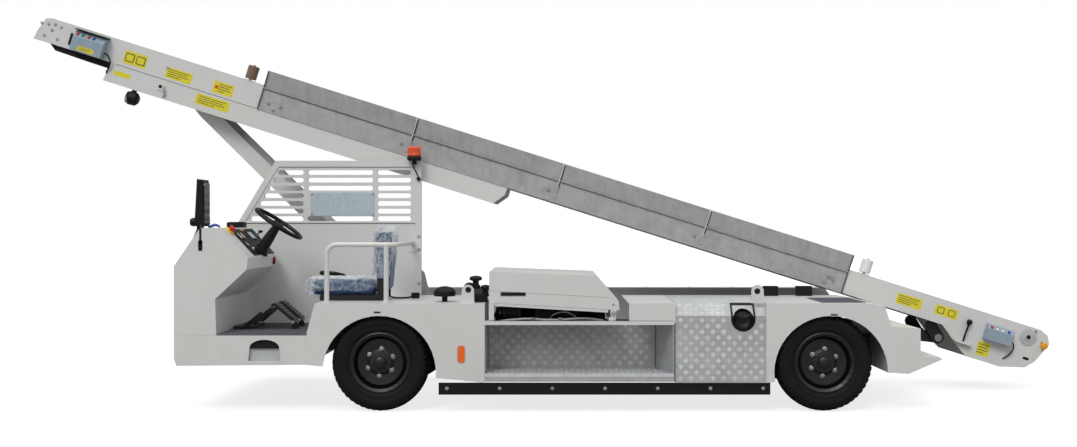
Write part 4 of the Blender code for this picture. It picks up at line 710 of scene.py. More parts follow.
def tread_bars(origin, across, up, out, wide, high, pitch, rise, sign):
    """Points of groups of three short bars, 24 a group, on every other square of a checker, turned 45 degrees to the side of sign: each
    bar is a hexagon on the plate that rises to a ridge, so that it is long, pointed and a few millimetres wide."""
    across, up, out, origin = (np.array(w, float) for w in (across, up, out, origin))
    columns, rows = max(round(wide / pitch * 2), 1), max(round(high / pitch * 2), 1)
    i, j = [g.ravel() for g in np.meshgrid(np.arange(columns), np.arange(rows), indexing="ij")]
    pick = (i + j) % 2 == (0 if sign > 0 else 1)
    middle = np.stack([(i[pick] + 0.5) * wide / columns, (j[pick] + 0.5) * high / rows], 1)
    reach, thick = pitch * 0.235, pitch * 0.052
    ring = np.array([(reach, 0), (reach * 0.6, thick), (-reach * 0.6, thick), (-reach, 0), (-reach * 0.6, -thick),
                     (reach * 0.6, -thick), (reach * 0.62, 0), (-reach * 0.62, 0)])
    lift = np.array([-0.0002] * 6 + [rise] * 2)
    one = np.concatenate([ring + (0, step) for step in (-pitch * 0.125, 0, pitch * 0.125)])
    turned_one = np.stack([one[:, 0] - sign * one[:, 1], sign * one[:, 0] + one[:, 1]], 1) * math.sqrt(0.5)
    flat = middle[:, None] + turned_one[None]
    return origin + flat[..., :1] * across + flat[..., 1:] * up + np.tile(lift, 3)[:, None] * out


class LOADER_OT_tread_plate(bpy.types.Operator):
    """Raised bars on the locker, the side step and its back"""
    bl_idname = "loader.tread_plate"
    bl_label = "Tread plate bars"

    def execute(self, context):
        sizes = context.scene.loader_sizes
        pitch, rise = sizes.plate_pitch, sizes.plate_rise
        box_low, box_high = low_corner("locker_box"), high_corner("locker_box")
        tray_low, tray_high = low_corner("step_tray"), high_corner("step_tray")
        wide = box_high[0] - box_low[0] - 0.03
        edge, cut = 0.088, math.sqrt(0.5)
        back = -0.65
        faces = (
            ((box_low[0] + 0.015, BODY_FACE, box_low[2] + 0.012), (1, 0, 0), (0, 0, 1), (0, -1, 0), wide,
             box_high[2] - edge - box_low[2] - 0.024, rise * 0.8),
            ((box_low[0] + 0.015, box_low[1] + edge + 0.01, box_high[2]), (1, 0, 0), (0, 1, 0), (0, 0, 1), wide,
             box_high[1] - box_low[1] - edge - 0.02, rise),
            ((box_low[0] + 0.015, BODY_FACE + 0.006, box_high[2] - edge + 0.006), (1, 0, 0), (0, cut, cut),
             (0, -cut, cut), wide, edge / cut - 0.016, rise),
            ((tray_low[0] + 0.01, back, 0.285), (1, 0, 0), (0, 0, 1), (0, -1, 0), 1.215, 0.32, rise),
            ((tray_low[0] + 0.01, BODY_FACE + 0.02, 0.272), (1, 0, 0), (0, 1, 0), (0, 0, 1), 1.30, 0.37, rise),
        )
        shapes = []
        for *face, high in faces:
            # the bars turned one way take the lighter bar material, a painted highlight; those turned the other way
            # keep the plate's own finish
            for sign, finish in ((1, "bright bar"), (-1, "tread plate")):
                points = tread_bars(*face, pitch, high, sign)
                middle = points.mean(1)
                # the cup's hole and the step's slanted end stay clear
                hole = (np.hypot(middle[:, 0] - 1.42, middle[:, 2] - 0.655) < 0.115) & (middle[:, 1] < -0.93)
                hole |= (np.abs(middle[:, 0] - 1.42) < 0.11) & (middle[:, 1] < -0.955) & (middle[:, 2] > 0.66)
                past = (middle[:, 0] > 0.895 - 0.24 * (middle[:, 1] + 1.05)) & (middle[:, 0] < 0.94)
                points = points[~(hole | past)].reshape(-1, 3)
                bars = [[k + 8 * n for k in f] for n in range(len(points) // 8) for f in BAR_FACES]
                shapes.append(((points, bars), finish))
        # folded edges: the step's nosing in the lighter bar material, a painted highlight, its end seams and the
        # locker's corner seam
        nose = slab([(BODY_FACE + 0.0002, 0.2685), (BODY_FACE + 0.0002, 0.250), (BODY_FACE - 0.0015, 0.252),
                     (BODY_FACE - 0.0015, 0.2715), (BODY_FACE + 0.012, 0.2738), (BODY_FACE + 0.012, 0.2718)],
                    tray_low[0] + 0.002, 0.928, "x")
        shapes.append((nose, "bright bar"))
        for x in (tray_low[0] + 0.003, 0.829):
            shapes.append((slab(rectangle(x, 0.443, 0.004, 0.342), back - 0.0012, back + 0.001), "dark gap"))
        piece("tread_bars", "chassis", shapes, smooth=25)
        return {"FINISHED"}


class LOADER_OT_body_trim(bpy.types.Operator):
    """Marker, skirt bolts, lifting lugs, caps, slots, screws, the step pocket and the filler scoop on the body"""
    bl_idname = "loader.body_trim"
    bl_label = "Body trim"

    def execute(self, context):
        head = context.scene.loader_sizes.bolt_head
        shapes = []

        def put(shape, finish):
            shapes.append((shape, finish))

        face = BODY_FACE
        marker = rectangle(-0.567, 0.409, 0.050, 0.120, 0.020, 6)
        put(slab(marker, face - 0.0018, face + 0.001), "orange marker")
        put(slab(rectangle(-0.567, 0.409, 0.060, 0.130, 0.025, 6), face - 0.0008, face + 0.001), "plate grey")
        skirt = low_corner("skirt_left")[1]
        for k in range(7):
            put(join(*bolt(-0.668 + 0.3712 * k, 0.169, skirt, radius=head)), "zinc bolt")
        # lifting lugs: a plate with an eye that stands on the deck's edge
        for x, eye in ((-0.522, (-0.519, 0.862)), (1.523, (1.521, 0.852))):
            outline = [(x - 0.046, DECK - 0.0), (x + 0.046, DECK)]
            turn = np.linspace(0.35, math.pi - 0.35, 11)
            outline += list(zip(x + 0.045 * np.cos(turn), 0.848 + 0.05 * np.sin(turn)))
            put(slab(outline, face + 0.028, face + 0.040), "white enamel")
            put(turned([(0.021, -0.0005), (0.019, -0.0018), (0.006, -0.0018)], (eye[0], face + 0.028, eye[1]), steps=24),
                "dark gap")
        # small panel slots over the arches, and the locker's corner screws
        for x, z in ((-1.158, 0.7045), (2.0575, 0.6865)):
            put(slab(rectangle(x, z, 0.056, 0.021, 0.004), face - 0.0006, face + 0.001), "plate grey")
            put(slab(rectangle(x, z, 0.046, 0.010, 0.004), face - 0.0009, face + 0.001), "dark gap")
        for x, z in ((1.565, 0.650), (1.565, 0.318), (0.956, 0.318), (0.956, 0.64)):
            put(join(*bolt(x, z, face, radius=0.006, rise=0.0016, washer=False)), "zinc bolt")
        # the step pocket: a dark arch fills its upper part as painted shade, over a grey plate whose edge is in the
        # lighter bar material as a painted highlight
        turn = np.linspace(0, math.pi, 15)
        arch = [(-1.952 + 0.102 * math.cos(t), 0.455 + 0.054 * math.sin(t)) for t in turn]
        put(slab([(-1.846, 0.448), *arch, (-2.058, 0.448)], face + 0.016, face + 0.1375), "dark gap")
        put(slab([(-2.064, 0.3625), (-1.840, 0.3625), (-1.8445, 0.446), (-2.0595, 0.446)], face + 0.030, face + 0.036),
            "plate grey")
        put(slab(rectangle(-1.952, 0.446, 0.222, 0.006), face + 0.024, face + 0.060), "bright bar")
        piece("body_trim", "chassis", shapes)

        # black fittings on the deck: vent cap, valve block with its handles, pads on the rear deck
        shapes = []
        cap = (-0.700, face + 0.20)
        put(turned([(0.020, DECK), (0.020, DECK + 0.035), (0.040, DECK + 0.040)], (*cap, 0.0), "z", 24), "black plastic")
        put(turned([(0.075, DECK + 0.040), (0.080, DECK + 0.052), (0.078, DECK + 0.075), (0.058, DECK + 0.098),
                    (0.025, DECK + 0.110), (0.004, DECK + 0.112)], (*cap, 0.0), "z", 36), "black plastic")
        block = (-0.455, face + 0.17)
        put(slab(rectangle(block[0], block[1], 0.13, 0.10, 0.012), DECK, DECK + 0.055, "z"), "black plastic")
        put(slab(rectangle(block[0] - 0.01, block[1], 0.09, 0.07, 0.010), DECK + 0.055, DECK + 0.095, "z"), "cast iron")
        for shift, radius, tall in ((-0.020, 0.032, 0.150), (0.050, 0.026, 0.085)):
            spot = (block[0] + shift, block[1], 0.0)
            put(turned([(radius, DECK + 0.04), (radius, DECK + tall - 0.03), (radius * 0.7, DECK + tall - 0.024),
                        (radius * 0.7, DECK + tall), (radius * 1.35, DECK + tall + 0.006),
                        (radius * 1.45, DECK + tall + 0.020), (radius * 1.2, DECK + tall + 0.032),
                        (radius * 0.4, DECK + tall + 0.038)], spot, "z", 28), "black plastic")
        put(tube(smooth_route([(block[0] - 0.02, block[1] - 0.03, DECK + 0.12), (block[0] - 0.075, block[1] - 0.04, DECK + 0.13),
                               (block[0] - 0.10, block[1] - 0.04, DECK + 0.085), (block[0] - 0.09, block[1] - 0.03, DECK + 0.01)],
                              7), 0.011), "black plastic")
        put(slab(rectangle(2.145, -0.70, 0.32, 0.56, 0.02), DECK, DECK + 0.004, "z"), "floor rubber")
        for k in range(9):
            put(slab(rectangle(2.145, -0.94 + 0.06 * k, 0.29, 0.022, 0.004), DECK + 0.004, DECK + 0.0065, "z"),
                "floor rubber")
        for x, wide in ((1.77, 0.11), (2.03, 0.12)):
            put(slab(rectangle(x, -0.10, wide, 0.09, 0.01), DECK, DECK + 0.075, "z"), "black plastic")
        piece("deck_fittings", "chassis", shapes, bevel=0.002)

        # the filler scoop: a U-shaped flange that follows the locker's front and its slanted edge, with a dish in it
        x, z, radius = 1.418, 0.655, 0.074
        top = 0.752
        low = np.linspace(math.pi, 2 * math.pi, 17)
        ring = np.column_stack([np.cos(low), np.sin(low)])
        leg = np.linspace((top - z) / radius, 0.02, 28)
        flat_top = np.linspace(-0.9, 0.9, 9)
        outline = np.vstack([np.column_stack([np.ones(28), leg]), ring[::-1], np.column_stack([-np.ones(28), leg[::-1]]),
                             np.column_stack([flat_top, np.full(9, (top - z) / radius)])])
        # rows: outer foot, outer rim, inner rim, wall, floor edge, floor middle, as share of the outline and depth
        rows = ((1.16, 0.0), (1.16, -0.0015), (1.08, -0.0019), (0.98, -0.0015), (0.94, 0.010), (0.80, 0.034),
                (0.45, 0.042), (0.10, 0.043))
        grid = []
        for share, depth in rows:
            px = x + radius * outline[:, 0] * share
            pz = z + radius * outline[:, 1] * share
            slope = np.maximum(pz - 0.68, 0)
            grid.append(np.column_stack([px, face + slope + depth, pz]))
        dish = np.vstack(grid), [*grid_faces(len(rows), len(outline), round_columns=True),
                                 list(range((len(rows) - 1) * len(outline), len(rows) * len(outline)))]
        piece("filler_scoop", "chassis", [(dish, "black plastic")], smooth=50)
        return {"FINISHED"}


# ---------------------------------------------------------------- cab

def cushion(name, node, shrink, cap):
    """A copy of a seat solid, made slightly smaller, remeshed and swollen by cloth under pressure; no point moves
    further than the cap."""
    source = frame["nodes"][node]
    mesh = bpy.data.meshes.new(name)
    work = bmesh.new()
    work.from_mesh(source.data)
    bmesh.ops.remove_doubles(work, verts=work.verts, dist=0.0005)
    points = np.array([v.co for v in work.verts])
    middle = (points.min(0) + points.max(0)) / 2
    half = (points.max(0) - points.min(0)) / 2
    for vertex, point in zip(work.verts, middle + (points - middle) * (half - shrink) / half):
        vertex.co = point
    work.to_mesh(mesh)
    work.free()
    made = bpy.data.objects.new(name, mesh)
    bpy.context.scene.collection.objects.link(made)
    bpy.context.view_layer.objects.active = made
    remesh = made.modifiers.new("remesh", "REMESH")
    remesh.mode, remesh.voxel_size = "VOXEL", 0.0065
    for o in bpy.context.selected_objects:
        o.select_set(False)
    made.select_set(True)
    bpy.ops.object.modifier_apply(modifier="remesh")
    rest = np.empty(len(made.data.vertices) * 3)
    made.data.vertices.foreach_get("co", rest)
    rest = rest.reshape(-1, 3)
    cloth = made.modifiers.new("cloth", "CLOTH")
    cloth.settings.use_pressure = True
    cloth.settings.uniform_pressure_force = 4.0
    cloth.settings.effector_weights.gravity = 0.0
    cloth.settings.quality = 5
    for step in range(1, 21):
        bpy.context.scene.frame_set(step)
    bpy.ops.object.modifier_apply(modifier="cloth")
    bpy.context.scene.frame_set(1)
    moved = np.empty(len(made.data.vertices) * 3)
    made.data.vertices.foreach_get("co", moved)
    shift = moved.reshape(-1, 3) - rest
    far = np.linalg.norm(shift, axis=1, keepdims=True)
    shift *= np.minimum(1, cap / np.maximum(far, 1e-9))
    return made, rest + shift


def finish_cushion(made, points, node):
    made.data.vertices.foreach_set("co", points.ravel())
    made.data.materials.clear()
    made.data.materials.append(bpy.data.materials["seat cloth"])
    made.data.polygons.foreach_set("material_index", [0] * len(made.data.polygons))
    made.data.shade_smooth()
    finer = made.modifiers.new("finer", "SUBSURF")
    finer.levels = finer.render_levels = 1
    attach(made, "chassis")
    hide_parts(node)


class LOADER_OT_seat(bpy.types.Operator):
    """Two stuffed cushions with sewn channels, under loose clear film"""
    bl_idname = "loader.seat"
    bl_label = "Driver's cushions"

    def execute(self, context):
        limits = {}
        for name, node, across in (("seat_pad", "seat_cushion", 0), ("back_pad", "seat_back", 2)):
            low, high = low_corner(node), high_corner(node)
            made, points = cushion(name, node, 0.012, 0.024)
            # two channels across the pad and one along each side, pressed in after the swelling
            along = points[:, across]
            share = (along - low[across]) / (high[across] - low[across])
            side = (points[:, 1] - low[1]) / (high[1] - low[1])
            face = points[:, 2] > (low[2] + high[2]) / 2 if across == 0 else points[:, 0] < (low[0] + high[0]) / 2
            inner = (side > 0.2) & (side < 0.8)
            dent = np.zeros(len(points))
            for line in (0.36, 0.66):
                dent = np.maximum(dent, np.exp(-((share - line) * (high - low)[across] / 0.007) ** 2) * inner)
            for line in (0.2, 0.8):
                dent = np.maximum(dent, np.exp(-((side - line) * (high - low)[1] / 0.007) ** 2))
            dent *= face * 0.009
            if across == 0:
                points[:, 2] -= dent
            else:
                points[:, 0] += dent
            points = np.clip(points, low + 0.0004, high - 0.0004)
            finish_cushion(made, points, node)
            limits[name] = (low, high)

        # the film lies over the pad and the back in one sheet: a route of the section, padded with loose folds
        (seat_low, seat_high), (back_low, back_high) = limits["seat_pad"], limits["back_pad"]
        gap = 0.006
        knots = [(seat_low[0] + 0.03, seat_low[2] - 0.004), (seat_low[0] - gap, seat_low[2] + 0.03),
                 (seat_low[0] - gap, seat_high[2] - 0.02), (seat_low[0] + 0.03, seat_high[2] + gap),
                 (seat_low[0] + 0.22, seat_high[2] + 0.010), (back_low[0] - 0.09, seat_high[2] + 0.012),
                 (back_low[0] - 0.025, seat_high[2] + 0.055), (back_low[0] - 0.014, seat_high[2] + 0.16),
                 (back_low[0] - 0.008, back_high[2] - 0.06), (back_low[0] + 0.02, back_high[2] + gap),
                 (back_high[0] - 0.02, back_high[2] + gap), (back_high[0] + gap, back_high[2] - 0.04),
                 (back_high[0] + gap - 0.012, back_low[2] + 0.30), (back_high[0] + gap - 0.035, back_low[2] + 0.12)]
        route = smooth_route([(x, 0.0, z) for x, z in knots], 20)
        step = np.linalg.norm(np.diff(route, axis=0), axis=1)
        travel = np.concatenate([[0], np.cumsum(step)])
        rows = 220
        even = np.linspace(0, travel[-1], rows)
        route = np.stack([np.interp(even, travel, route[:, k]) for k in range(3)], 1)
        slope = np.gradient(route, axis=0)
        slope /= np.linalg.norm(slope, axis=1, keepdims=True)
        out = np.stack([-slope[:, 2], np.zeros(rows), slope[:, 0]], 1)
        wide = seat_high[1] - seat_low[1]
        columns, hang = 110, 0.088
        v = np.linspace(-(wide / 2 + hang), wide / 2 + hang, columns)
        over = np.maximum(np.abs(v) - (wide / 2 - 0.012), 0)
        reach = np.minimum(np.abs(v), wide / 2 - 0.012 + 0.018 * np.tanh(over / 0.018))
        y = (seat_low[1] + seat_high[1]) / 2 + np.sign(v) * reach
        drop = np.maximum(over - 0.012, 0)
        grid = route[:, None] + 0.0 * v[None, :, None]
        grid[..., 1] = y[None]
        grid -= out[:, None] * drop[None, :, None]
        # creases: ridges at random places and angles, sharp across and fading along, from one seed
        rng = np.random.default_rng(11)
        lift = np.zeros((rows, columns))
        for _ in range(95):
            cu, cv = rng.uniform(0, travel[-1]), rng.uniform(v[0], v[-1])
            angle = rng.uniform(0, math.pi)
            a = (even[:, None] - cu) * math.cos(angle) + (v[None] - cv) * math.sin(angle)
            b = -(even[:, None] - cu) * math.sin(angle) + (v[None] - cv) * math.cos(angle)
            lift += rng.uniform(0.005, 0.013) * np.exp(-np.abs(b) / rng.uniform(0.008, 0.022)) * np.exp(
                -(a / rng.uniform(0.05, 0.16)) ** 2)
        lift = np.minimum(lift, 0.022)
        grid += out[:, None] * lift[..., None]
        grid[..., 1] += np.sign(v)[None] * lift * (over[None] > 0.01) * 0.6
        sheet = (grid.reshape(-1, 3), grid_faces(rows, columns))
        film = piece("seat_film", "chassis", [(sheet, "clear film")], smooth=60)
        return {"FINISHED"}


def on_dash(along, y, height=0.0):
    """A point on the sloping dash: distance down the slope from its top edge, the loader's y, height off it."""
    return (-2.262 + 0.6805 * along + 0.7333 * height, y, 1.298 - 0.7333 * along + 0.6805 * height)


class LOADER_OT_cab_controls(bpy.types.Operator):
    """Instrument panel, stop button, lamp, switch, treadles, hand lever and the seat's cable"""
    bl_idname = "loader.cab_controls"
    bl_label = "Cab controls"

    def execute(self, context):
        shapes = []
        normal = (0.7333, 0.0, 0.6805)

        def put(shape, finish):
            shapes.append((shape, finish))

        def plate(a, b, y0, y1, low, high, finish):
            corners = [on_dash(u, 0, h) for u, h in ((a, low), (b, low), (b, high), (a, high))]
            put(slab([(c[0], c[2]) for c in corners], y0, y1), finish)

        plate(0.014, 0.274, -0.835, -0.165, -0.001, 0.0035, "dash panel")
        plate(0.020, 0.268, -0.828, -0.172, 0.0035, 0.0042, "black plastic")
        for u, y, r in ((0.085, -0.760, 0.034), (0.085, -0.675, 0.034), (0.165, -0.760, 0.026)):
            put(turned([(r, 0.003), (r, 0.009), (r * 0.92, 0.012), (r * 0.86, 0.009), (r * 0.2, 0.009)],
                       on_dash(u, y), normal, 32), "black enamel")
            put(turned([(r * 0.85, 0.0085), (r * 0.85, 0.0095)], on_dash(u, y), normal, 28), "dial white")
            put(turned([(r * 0.10, 0.009), (r * 0.10, 0.0125)], on_dash(u, y), normal, 10), "dash panel")
            tip, tail = on_dash(u - r * 0.6, y - r * 0.3, 0.0105), on_dash(u + r * 0.1, y + r * 0.05, 0.0105)
            put(tube([tail, tip], 0.0012, 6), "red button")
        plate(0.045, 0.125, -0.470, -0.330, 0.004, 0.009, "black plastic")
        plate(0.053, 0.117, -0.460, -0.340, 0.009, 0.0095, "tie blue")
        for k in range(6):
            y = -0.44 + 0.042 * k
            plate(0.160, 0.190, y, y + 0.026, 0.004, 0.011, "black enamel")
            plate(0.164, 0.174, y + 0.003, y + 0.023, 0.011, 0.0125, ("dial white", "red button", "green button")[k % 3])
        for k, finish in enumerate(("green button", "orange knob", "red button", "dial white")):
            put(turned([(0.008, 0.003), (0.008, 0.007), (0.0055, 0.010), (0.001, 0.0105)], on_dash(0.03, -0.60 + 0.03 * k),
                       normal, 16), finish)
        put(turned([(0.016, 0.003), (0.016, 0.010), (0.012, 0.012), (0.006, 0.022), (0.003, 0.023)],
                   on_dash(0.215, -0.720), normal, 24), "machined steel")
        for y in (-0.27, -0.22):
            put(tube([on_dash(0.09, y, 0.003), on_dash(0.085, y, 0.045)], 0.004, 8), "machined steel")
            put(turned([(0.006, 0.04), (0.011, 0.046), (0.011, 0.056), (0.005, 0.061)], on_dash(0.087, y), normal, 16),
                "black plastic")
        for u in (0.025, 0.263):
            for y in (-0.82, -0.50, -0.18):
                put(turned([(0.006, 0.003), (0.006, 0.0055), (0.003, 0.006)], on_dash(u, y), normal, 6), "zinc bolt")
        # rubber boot where the column leaves the dash
        put(turned([(0.062, -0.004), (0.062, 0.004), (0.052, 0.010), (0.055, 0.016), (0.046, 0.024), (0.048, 0.030),
                    (0.038, 0.040)], on_dash(0.243, -0.55), (math.sin(math.radians(34)), 0, math.cos(math.radians(34))),
                   32), "black plastic")
        # stop button on its yellow base, on the pod beside the panel
        put(turned([(0.036, -0.001), (0.036, 0.010), (0.032, 0.013)], on_dash(0.034, -0.885), normal, 28), "yellow base")
        put(turned([(0.014, 0.012), (0.014, 0.024), (0.026, 0.028), (0.028, 0.036), (0.022, 0.043), (0.004, 0.045)],
                   on_dash(0.034, -0.885), normal, 28), "red button")
        # red rocker on the pod's rear face
        put(slab(rectangle(-0.22, 1.045, 0.052, 0.056, 0.006), -2.076, -2.064, "x"), "black plastic")
        put(slab(rectangle(-0.22, 1.045, 0.036, 0.040, 0.005), -2.065, -2.056, "x"), "red button")
        # on the pod's top: small work lamp on its stalk, folded blue tie, dark radio box
        put(turned([(0.022, -0.045), (0.030, -0.036), (0.030, 0.030), (0.026, 0.040), (0.010, 0.042)],
                   (-2.440, -0.985, 1.340), "x", 24), "black plastic")
        put(turned([(0.026, -0.047), (0.020, -0.050), (0.002, -0.051)], (-2.440, -0.985, 1.340), "x", 24), "lamp glass")
        put(tube([(-2.400, -0.985, 1.292), (-2.405, -0.985, 1.320)], 0.008), "black plastic")
        route = smooth_route([(-2.375, -0.93, 1.304), (-2.34, -0.90, 1.322), (-2.300, -0.93, 1.308),
                              (-2.315, -0.97, 1.318), (-2.36, -0.955, 1.306), (-2.385, -0.90, 1.316)], 8)
        put(tube(route, 0.0075), "blue cap")
        put(slab(rectangle(-2.335, -0.30, 0.125, 0.13, 0.012), 1.2975, 1.338, "z"), "black plastic")
        put(slab(rectangle(-2.335, -0.30, 0.105, 0.11, 0.010), 1.338, 1.342, "z"), "dash panel")
        piece("dash_controls", "chassis", shapes, bevel=0.0006)

        # foot treadles and the plates of their links
        shapes = []
        for y in (-0.685, -0.455):
            put(slab([(-1.992, 0.722), (-1.982, 0.742), (-1.955, 0.747), (-1.812, 0.622), (-1.805, 0.604),
                      (-1.822, 0.602), (-1.962, 0.724)], y, y + 0.12), "black enamel")
            for k in range(6):
                x, z = -1.935 + 0.022 * k, 0.7345 - 0.0192 * k
                put(slab([(x, z - 0.004), (x + 0.010, z - 0.0128), (x + 0.0135, z - 0.0085), (x + 0.0035, z + 0.0005)],
                         y + 0.008, y + 0.112), "floor rubber")
            for shift in (0.030, 0.080):
                put(slab([(-1.832, 0.612), (-1.815, 0.612), (-1.800, 0.5565), (-1.845, 0.5565)], y + shift,
                         y + shift + 0.008), "black enamel")
            put(turned([(0.012, 0.0), (0.012, 0.14)], (-1.826, y - 0.01, 0.608), "y", 14), "zinc bolt")
        # hand lever beside the seat, and the seat's cable to its socket on the deck
        lever = smooth_route([(-1.47, -0.335, 0.79), (-1.475, -0.325, 0.88), (-1.51, -0.31, 0.935), (-1.58, -0.305, 0.948),
                              (-1.70, -0.305, 0.955)], 8)
        put(tube(lever, np.interp(np.arange(len(lever)), [0, 20, 24, len(lever) - 2, len(lever) - 1],
                                  [0.008, 0.009, 0.015, 0.017, 0.010]), 14), "black plastic")
        put(slab(rectangle(-1.47, 0.785, 0.06, 0.032, 0.006), -0.345, -0.325), "black enamel")
        cable = smooth_route([(-1.155, -0.50, 0.80), (-1.125, -0.50, 0.781), (-1.08, -0.50, 0.775), (-1.03, -0.48, 0.775),
                              (-0.995, -0.46, 0.778), (-0.975, -0.45, 0.792)], 8)
        put(tube(cable, 0.0065), "black plastic")
        put(slab(rectangle(-0.955, -0.445, 0.06, 0.045, 0.008), DECK, DECK + 0.042, "z"), "black plastic")
        put(turned([(0.015, -0.022), (0.015, 0.004), (0.009, 0.008)], (-0.972, -0.4485, 0.792), (-1, 0, 0.2), 16),
            "black plastic")
        piece("cab_fittings", "chassis", shapes, bevel=0.0006)

        # mirror glass towards the driver, its arm, and the clamp on the pod's side
        low, high = low_corner("mirror"), high_corner("mirror")
        shapes = []
        put(slab(rectangle((low[1] + high[1]) / 2, 1.478, high[1] - low[1] - 0.022, 0.285, 0.02), high[0] - 0.006,
                 high[0] + 0.0012, "x"), "mirror glass")
        put(slab(rectangle(-2.402, 1.240, 0.016, 0.115, 0.004), BODY_FACE - 0.0019, BODY_FACE + 0.001), "black enamel")
        put(slab(rectangle(-2.402, 1.175, 0.030, 0.075, 0.008), BODY_FACE - 0.0019, BODY_FACE + 0.001), "black plastic")
        put(tube([(-2.402, -1.035, 1.29), (-2.408, -1.02, 1.315), (-2.415, -0.99, 1.33)], 0.008), "black enamel")
        piece("mirror_fittings", "chassis", shapes)
        return {"FINISHED"}


class LOADER_OT_partition_trim(bpy.types.Operator):
    """Frame strips, pale plate, ledge and cable on the partition, bolts on its rear post"""
    bl_idname = "loader.partition_trim"
    bl_label = "Partition trim"

    def execute(self, context):
        face = PARTITION_FACE
        shapes = []

        def put(shape, finish):
            shapes.append((shape, finish))

        strips = ([(-2.095, 1.822), (-2.1245, 1.7735), (-0.954, 1.7735), (-0.954, 1.822)],
                  [(-2.386, 1.340), (-2.1245, 1.7735), (-2.0745, 1.7735), (-2.336, 1.340)],
                  [(-0.9995, 0.772), (-0.954, 0.772), (-0.954, 1.7735), (-0.9995, 1.7735)],
                  [(-2.384, 1.3345), (-0.9995, 1.3345), (-0.9995, 1.3440), (-2.380, 1.3440)])
        for outline in strips:
            put(slab(outline, face - 0.007, face + 0.0005), "white enamel")
        # dark lines under the ledge and under the top strip: their painted shadows
        put(slab([(-2.383, 1.3300), (-0.9995, 1.3300), (-0.9995, 1.3345), (-2.383, 1.3345)], face - 0.0012,
                 face + 0.0005), "dark gap")
        put(slab([(-2.07, 1.7700), (-1.0, 1.7700), (-1.0, 1.7735), (-2.07, 1.7735)], face - 0.0012, face + 0.0005),
            "dark gap")
        put(slab(rectangle(-1.570, 1.4815, 0.500, 0.183, 0.004), face - 0.0045, face + 0.0005), "tie blue")
        for x, z in ((-1.808, 1.560), (-1.332, 1.560), (-1.808, 1.403), (-1.332, 1.403)):
            put(join(*bolt(x, z, face - 0.0045, radius=0.006, rise=0.003)), "zinc bolt")
        for z in (1.228, 1.126, 0.86):
            put(join(*bolt(-0.972, z, face - 0.007, radius=0.009)), "zinc bolt")
        cable = smooth_route([(-1.010, -0.085, 1.826), (-1.018, -0.082, 1.805), (-1.012, -0.070, 1.770),
                              (-0.992, -0.060, 1.730), (-0.978, -0.0575, 1.700), (-0.974, -0.0545, 1.685)], 7)
        put(tube(cable, 0.0045, 8), "black plastic")
        put(turned([(0.008, 0.0), (0.016, -0.004), (0.016, -0.016), (0.010, -0.020)], (-0.974, face - 0.006, 1.680)),
            "black plastic")
        piece("partition_trim", "chassis", shapes, bevel=0.0006)

        # ribbed beacon lens: radius swings by 1.6 mm twenty-four times round
        low, high = low_corner("beacon_lens"), high_corner("beacon_lens")
        x, y, _ = (low + high) / 2
        outer, tall = (high[0] - low[0]) / 2, high[2] - low[2]
        steps = 192
        turn = np.arange(steps) * 2 * math.pi / steps
        profile = np.array([(0.97, 0.0), (1.0, 0.04), (1.0, 0.13), (0.955, 0.16), (0.945, 0.62), (0.93, 0.80),
                            (0.87, 0.90), (0.70, 0.97), (0.40, 0.995), (0.05, 1.0)])
        ribs = np.array([0, 0, 0, 0.6, 1, 1, 0.8, 0.3, 0, 0])
        radius = outer * profile[:, :1] + (np.abs(np.cos(12 * turn)) - 0.5) * 0.0032 * ribs[:, None]
        points = np.stack([x + radius * np.cos(turn), y + radius * np.sin(turn),
                           np.repeat(low[2] + tall * profile[:, 1:], steps, 1)], -1).reshape(-1, 3)
        last = (len(profile) - 1) * steps
        faces = [*grid_faces(len(profile), steps, round_columns=True), list(range(steps)),
                 list(range(last, last + steps))]
        piece("beacon_dome", "chassis", [((points, faces), "beacon lens")], smooth=40,
              replaces=("beacon_lens",))
        return {"FINISHED"}


# ---------------------------------------------------------------- engine bay, nose, tail and right side

